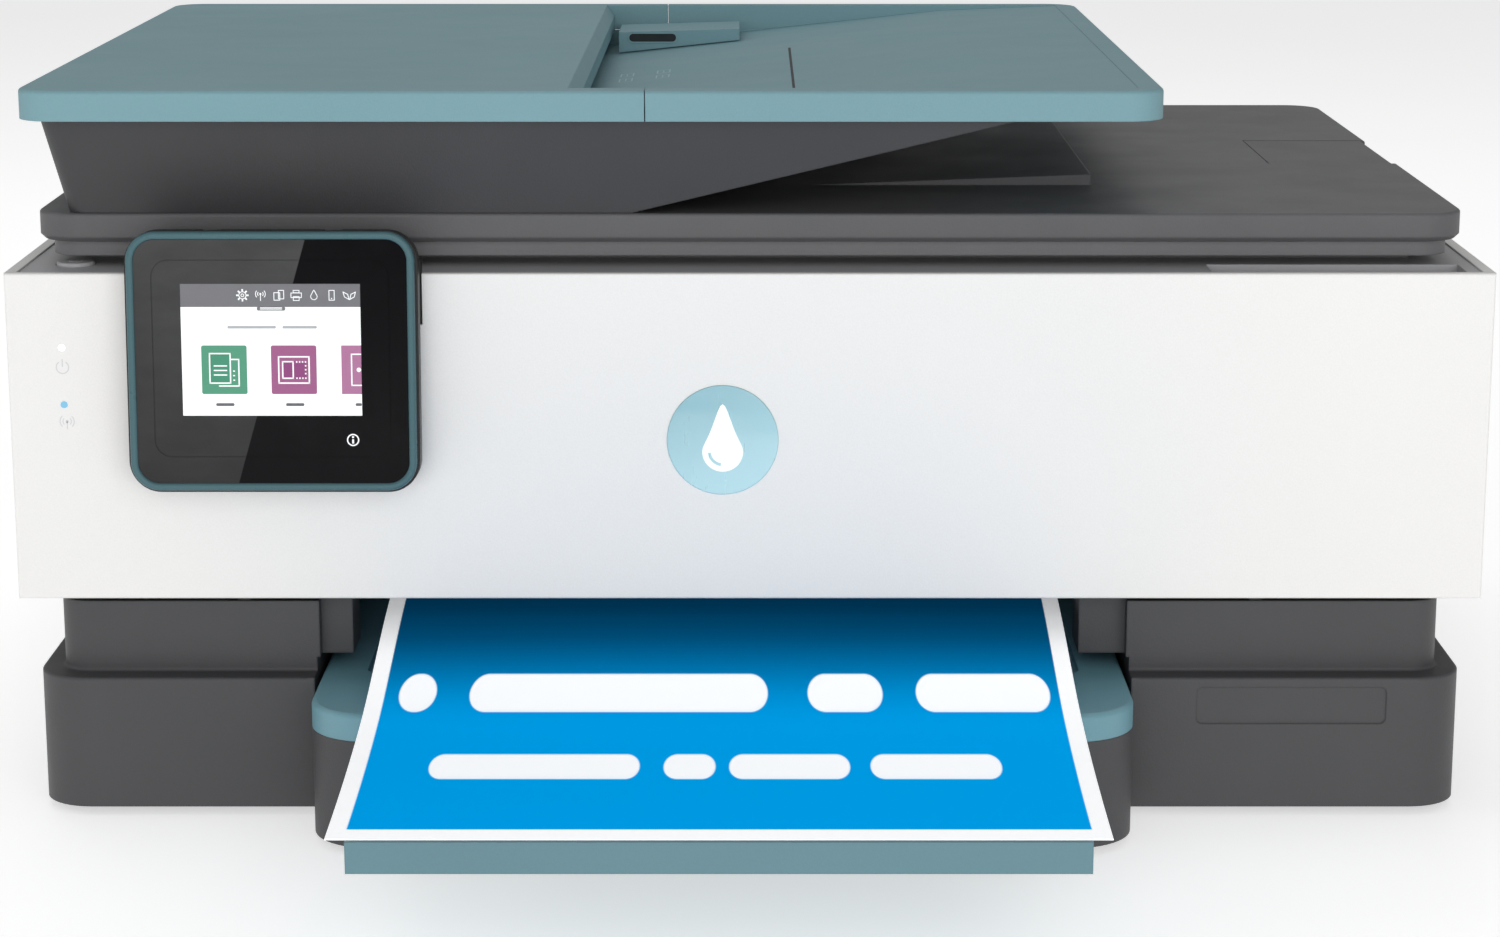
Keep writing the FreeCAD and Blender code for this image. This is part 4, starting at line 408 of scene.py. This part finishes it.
def stroke(points, width, closed=False):
    """Lines of one width through points, with square joints."""
    shapes = []
    pairs = list(zip(points, points[1:] + points[:1])) if closed else list(zip(points, points[1:]))
    for (ax, az), (bx, bz) in pairs:
        length = math.hypot(bx - ax, bz - az)
        ux, uz = (bx - ax) / length * width / 2, (bz - az) / length * width / 2
        shapes.append([(ax - ux + uz, az - uz - ux), (bx + ux + uz, bz + uz - ux),
                       (bx + ux - uz, bz + uz + ux), (ax - ux - uz, az - uz + ux)])
    return shapes


def outline(x0, x1, z0, z1, width):
    return stroke([(x0, z0), (x1, z0), (x1, z1), (x0, z1)], width, True)


def drop_loop(x, z, r, height, steps=36):
    """A water drop: a circle whose top is drawn up to a point."""
    loop = []
    for i in range(steps):
        a = -math.pi / 2 + 2 * math.pi * i / steps
        up = max(0.0, math.sin(a))
        lift = (height - 2 * r) * up ** 4
        loop.append((x + r * math.cos(a) * (1 - 0.35 * up ** 2), z + r * math.sin(a) + lift))
    return loop


class Face:
    """A flat place on the object: an origin, a way along, a way up and the outward normal."""

    def __init__(self, origin, along, up):
        self.origin, self.along, self.up = origin, Vector(along).normalized(), Vector(up).normalized()
        self.out = self.along.cross(self.up)

    def at(self, a, b, c):
        return self.origin + self.along * (a / 1000) + self.up * (b / 1000) + self.out * (c / 1000)


def decal(name, shapes, face, body, material, low=0.0, high=0.03):
    """Thin raised shapes on a face, from low to high above it, in millimetres."""
    bm = bmesh.new()
    for shape in shapes:
        top = [bm.verts.new(face.at(a, b, high)) for a, b in shape]
        bottom = [bm.verts.new(face.at(a, b, low)) for a, b in shape]
        bm.faces.new(top)
        bm.faces.new(bottom[::-1])
        for i in range(len(shape)):
            k = (i + 1) % len(shape)
            bm.faces.new((top[i], bottom[i], bottom[k], top[k]))
    bmesh.ops.recalc_face_normals(bm, faces=bm.faces[:])
    mesh = bpy.data.meshes.new(name)
    bm.to_mesh(mesh)
    bm.free()
    piece = bpy.data.objects.new(name, mesh)
    bpy.context.scene.collection.objects.link(piece)
    mesh.materials.append(material)
    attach(piece, body)
    return piece


# the slit ink is painted shade: a near-black fill that stands in for the shade inside a gap or slot
INK = {key: flat(name, linear(*colour), rough, glow) for key, name, colour, rough, glow in (
    ("bar", "ui_bar", (112, 112, 116), 0.2, 0.05), ("white", "ui_white", (246, 248, 248), 0.25, 0.1),
    ("green", "ui_green", (74, 146, 116), 0.2, 0.08), ("green_dark", "ui_green_dark", (60, 142, 112), 0.2, 0),
    ("pink", "ui_pink", (152, 84, 128), 0.2, 0.08), ("pink_dark", "ui_pink_dark", (140, 62, 120), 0.2, 0),
    ("rose", "ui_rose", (168, 108, 146), 0.2, 0.08), ("text", "ui_grey", (96, 98, 102), 0.3, 0),
    ("faint", "print_grey", (176, 177, 180), 0.5, 0), ("pale", "print_pale", (206, 207, 209), 0.5, 0),
    ("slit", "slit", (24, 32, 35), 0.7, 0), ("blue", "lamp_blue", (120, 178, 210), 0.2, 0.2),
    ("mark", "mark", (150, 182, 188), 0.45, 0), ("label", "label_silver", (196, 198, 200), 0.35, 0))}
tilt = math.radians(-3.6)
up = Vector((0, -math.sin(tilt), math.cos(tilt)))
out = Vector((0, -math.cos(tilt), -math.sin(tilt)))
PIVOT = mm(-146.3, -96.5, 184)
# the lit face of the display, in the panel's own upright frame
SCREEN = Face(PIVOT + out * 0.00822, (1, 0, 0), up)
L, T = -27.45, -11.8            # left and top edge of the display
W = 54.9                        # its width


# shapes on the display, x from its left edge and z down from its top edge
def box(x0, x1, z0, z1):
    return rect(L + x0, L + x1, T - z1, T - z0)


def soft(x0, x1, z0, z1, r):
    return rrect(L + x0, L + x1, T - z1, T - z0, r)


def line(points, width, closed=False):
    return stroke([(L + x, T - z) for x, z in points], width, closed)


def open_box(x0, x1, z0, z1, width):
    return outline(L + x0, L + x1, T - z1, T - z0, width)


def ui(name, shapes, colour, low=0.0, high=0.02):
    decal(name, shapes, SCREEN, "control_panel", INK[colour], low, high)


ui("ui_status_bar", box(0, W, 0, 7.1), "bar")
ui("ui_pull_tab", soft(23.3, 32.0, 7.0, 8.2, 0.5), "bar")
ui("ui_pull_mark", box(24.3, 31.0, 7.2, 7.45) + box(24.3, 31.0, 7.6, 7.85), "white", 0.02, 0.03)

# status bar, from the left: cog, radio mast, pages, printer, drop, phone and leaves
row = T - 3.5
icons = ring(L + 19.0, row, 1.2, 0.95) + ring(L + 19.0, row, 0.55, 0.32, steps=16)
for k in range(8):
    icons += stroke([polar(L + 19, row, r, 45 * k) for r in (1.2, 1.65)], 0.5)
icons += disc(L + 24.5, row + 0.4, 0.32, 12) + line([(24.5, 5.1), (24.5, 3.3)], 0.24)
for r in (0.85, 1.5):
    icons += arcs(L + 24.5, row + 0.4, r, 0.22, 42, 12)
icons += open_box(28.6, 30.4, 2.7, 5.0, 0.24) + open_box(30.0, 31.6, 2.0, 4.6, 0.24)
icons += open_box(33.8, 37.0, 2.8, 4.2, 0.24) + open_box(34.5, 36.3, 2.0, 2.7, 0.22)
icons += open_box(34.5, 36.3, 3.9, 5.1, 0.22)
icons += stroke(drop_loop(L + 40.8, row - 0.35, 1.0, 2.9)[::2], 0.26, True)
icons += open_box(45.4, 47.0, 2.0, 5.0, 0.24) + disc(L + 46.2, row - 1.0, 0.18, 8)
for side in (-1, 1):
    icons += line([(51.6 + side * x, z) for x, z in ((0.1, 4.8), (1.5, 4.0), (1.9, 2.5), (0.5, 3.2))], 0.24, True)
ui("ui_status_icons", icons, "white", 0.02, 0.03)

ui("ui_header_line", soft(14.2, 29.0, 12.9, 13.7, 0.35) + soft(31.0, 41.5, 12.9, 13.7, 0.35), "faint")
ui("ui_tile_green", soft(6.0, 19.9, 18.9, 33.9, 0.6), "green")
ui("ui_tile_pink", soft(27.3, 41.2, 18.9, 33.9, 0.6), "pink")
ui("ui_tile_rose", box(48.8, W, 18.9, 33.9), "rose")

ui("ui_copy_back", box(8.5, 14.8, 21.4, 30.5), "green_dark", 0.02, 0.026)
copy = open_box(8.5, 14.8, 21.4, 30.5, 0.42)
copy += line([(15.2, 23.2), (17.4, 23.2), (17.4, 31.4), (11.4, 31.4)], 0.42)
for z in (25.2, 26.6, 28.0):
    copy += line([(9.9, z), (13.6, z)], 0.4)
for z in (27.0, 28.4, 29.8):
    copy += box(15.6, 16.2, z - 0.4, z)
ui("ui_copy_icon", copy, "white", 0.026, 0.034)

ui("ui_scan_back", box(30.8, 38.0, 23.8, 29.2), "pink_dark", 0.02, 0.026)
scan = open_box(29.6, 38.9, 22.4, 30.5, 0.45) + open_box(30.8, 34.0, 23.9, 29.0, 0.42)
dots = [(x, z) for x in (34.9, 35.8, 36.7, 37.6) for z in (24.2, 29.2)] + [(37.6, z) for z in (25.4, 26.6, 27.8)]
for x, z in dots:
    scan += box(x, x + 0.45, z - 0.45, z)
ui("ui_scan_icon", scan, "white", 0.026, 0.034)

ui("ui_third_icon", line([(W, 21.6), (51.9, 21.6), (51.9, 31.2), (W, 31.2)], 0.42)
   + disc(L + 54.1, T - 26.4, 0.7, 16), "white", 0.026, 0.034)
captions = []
for x0, x1 in ((10.2, 15.8), (31.6, 37.2), (52.9, 54.8)):
    captions += soft(x0, x1, 36.7, 37.6, 0.4)
ui("ui_captions", captions, "text")
GLASS_FACE = Face(PIVOT + out * 0.0083, (1, 0, 0), up)
help_key = ring(24.5, -59.9, 1.9, 1.5) + disc(24.5, -59.0, 0.34, 12) + rect(24.2, 24.8, -61.0, -59.7)
decal("help_key", help_key, GLASS_FACE, "control_panel", INK["white"])

# door: icons under the lamps, the blue lamp and the drop on the badge
DOOR = Face(mm(0, -94, 0), (1, 0, 0), (0, 0, 1))
power = ring(-213, 144.6, 2.1, 1.75, 122, 418, 30) + stroke([(-213, 144.9), (-213, 147.0)], 0.36)
decal("power_icon", power, DOOR, "door", INK["pale"])
waves = disc(-212.3, 127.5, 0.5, 12) + stroke([(-212.3, 125.2), (-212.3, 127.3)], 0.32)
for r in (1.3, 2.2):
    waves += arcs(-212.3, 127.5, r, 0.32, 48, 14)
decal("link_icon", waves, DOOR, "door", INK["pale"])
decal("blue_lamp", disc(-213, 132.8, 1.15, 24), DOOR, "door", INK["blue"], 0.04, 0.09)
BADGE = Face(mm(-8.5, -94.6, 121.6), (1, 0, 0), (0, 0, 1))
# the drop uses the screen's white ink, which glows faintly: painted light on a printed mark
decal("badge_drop", [drop_loop(0, -3.6, 6.4, 21.5)], BADGE, "door", INK["white"], 0.0, 0.08)
shine = ring(0, -3.6, 4.6, 3.7, 185, 262, 16)
decal("badge_drop_shine", shine, BADGE, "door", M["badge"], 0.08, 0.12)

# deck: the mark on the power button
low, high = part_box("power_button")
BUTTON = Face(Vector(((low.x + high.x) / 2, (low.y + high.y) / 2, high.z)), (1, 0, 0), (0, 1, 0))
power = ring(0, 0, 2.3, 1.85, 122, 418, 30) + stroke([(0, 0.4), (0, 2.7)], 0.42)
decal("button_icon", power, BUTTON, "power_button", INK["pale"])

# feeder: fold-out seam and size marks on the sloping floor, then the grip on the rear guide
slope = (228.1 - 214.0) / (74.5 + 59.7)
FLOOR = Face(mm(-59.7, 0, 214.0), (1, 0, slope), (0, 1, 0))
s = math.sqrt(1 + slope * slope)


def along(x):
    return (x + 59.7) * s


# painted shade: the fold-out seam is a dark strip standing in for the shade in the gap
decal("feeder_seam", rect(along(14.0), along(14.9), -80, 125), FLOOR, "lid", INK["slit"])
marks = []
for x in (-46, -33):
    for y in (66, 82):
        marks += outline(along(x), along(x + 4.4), y, y + 10, 0.5)
        marks += stroke([(along(x + 2.2), y + 2), (along(x + 2.2), y + 8)], 0.4)
decal("size_marks", marks, FLOOR, "lid", INK["mark"])

low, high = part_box("adf_guide_rear")
FENCE = Face(Vector((low.x, low.y, high.z)), (1, 0, 0), (0, 0, 1))
rim, slot = rrect(3.2, 22.6, -5.6, -1.0, 2.2), rrect(4.0, 21.8, -4.8, -1.8, 1.45)
# the grip's slot is a dark fill that stands in for the shade in its recess: painted shade
for name, shape, material, low, high in (("guide_grip_rim", rim, M["teal"], 0.0, 0.12),
                                         ("guide_grip", slot, INK["slit"], 0.12, 0.14)):
    decal(name, shape, FENCE, "adf_guide_rear", material, low, high)

# back and underside: plain rating labels
BACK = Face(mm(0, 244, 0), (-1, 0, 0), (0, 0, 1))
decal("rear_label", rrect(-60, -18, 84, 108, 1.5), BACK, "chassis", INK["label"])
lines = outline(-58, -20, 86, 106, 0.4)
for z in (90, 94, 98, 102):
    lines += rect(-55, -30, z, z + 0.8)
lines += outline(-27, -22, 90, 95, 0.4)
decal("rear_label_lines", lines, BACK, "chassis", INK["text"], 0.03, 0.05)
UNDER = Face(mm(0, 0, 3), (1, 0, 0), (0, -1, 0))
decal("under_label", rrect(-150, -80, -120, -80, 2), UNDER, "chassis", INK["label"])
lines = outline(-148, -82, -118, -82, 0.5)
for z in (-112, -106, -100, -94, -88):
    lines += rect(-145, -105, z, z + 1.2)
decal("under_label_lines", lines, UNDER, "chassis", INK["text"], 0.03, 0.05)

# ink cartridges: a colour patch on each
low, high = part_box("ink_cartridges")
TANKS = Face(Vector(((low.x + high.x) / 2, low.y, high.z)), (1, 0, 0), (0, 1, 0))
TANK_COLOURS = {"yellow": (236, 208, 40), "magenta": (200, 40, 120), "cyan": (30, 150, 205), "key": (30, 30, 32)}
for i, (word, colour) in enumerate(TANK_COLOURS.items()):
    x = (i - 1.5) * 26
    patch = flat(f"tank_{word}", linear(*colour), 0.35)
    decal(f"tank_{word}", rrect(x - 9.5, x + 9.5, 16, 60, 2), TANKS, "carriage", patch, -2.5, -2.42)

# ---------------------------------------------------------------- floor, light and camera
scene = bpy.context.scene
bpy.ops.mesh.primitive_plane_add(size=8, location=(0, 0, 0))
ground = bpy.context.object
ground.name = "ground"
n = Nodes("ground")
n.set("Base Color", n.mix(n.noise(3, 2), linear(226, 226, 226), linear(232, 232, 232)))
n.set("Roughness", 0.9)
n.set("Specular IOR Level", 0.1)
n.set("Emission Color", (1, 1, 1, 1))
n.set("Emission Strength", 0.52)
ground.data.materials.append(n.mat)

world = bpy.data.worlds.new("studio")
scene.world = world
world.use_nodes = True
tree = world.node_tree
path = tree.nodes.new("ShaderNodeLightPath")
level = tree.nodes.new("ShaderNodeMapRange")
level.inputs["To Min"].default_value = 0.36
level.inputs["To Max"].default_value = 1.0
tree.links.new(path.outputs["Is Camera Ray"], level.inputs["Value"])
tree.nodes["Background"].inputs["Color"].default_value = (1, 1, 1, 1)
tree.links.new(level.outputs[0], tree.nodes["Background"].inputs["Strength"])


def lamp(name, spot, aim, size, power):
    light = bpy.data.lights.new(name, "AREA")
    light.shape, light.size, light.size_y, light.energy = "RECTANGLE", size[0], size[1], power
    holder = bpy.data.objects.new(name, light)
    scene.collection.objects.link(holder)
    holder.location = spot
    holder.rotation_euler = (Vector(aim) - Vector(spot)).to_track_quat("-Z", "Y").to_euler()
    return holder


lamp("front_fill", (0.3, -2.2, 0.9), (0, 0, 0.12), (2.2, 1.2), 15)
low_front = lamp("low_front", (0, -1.9, 0.28), (0, 0, 0.12), (2.6, 0.5), 10)
low_front.visible_glossy = False
lamp("top_back", (-0.2, 1.1, 1.7), (0, 0, 0.2), (1.8, 0.9), 8)
lamp("left_soft", (-1.9, -0.3, 0.9), (0, 0, 0.1), (1.0, 1.4), 4)

camera = bpy.data.objects.new("camera", bpy.data.cameras.new("camera"))
scene.collection.objects.link(camera)
camera.location = (0, -1.1253, 0.3449)
camera.rotation_euler = (math.radians(90 - 12.70), 0, 0)
camera.data.sensor_width = 36
camera.data.lens = 81.35
camera.data.clip_start = 0.05
scene.camera = camera

scene.view_settings.view_transform = "Standard"
scene.view_settings.look = "None"
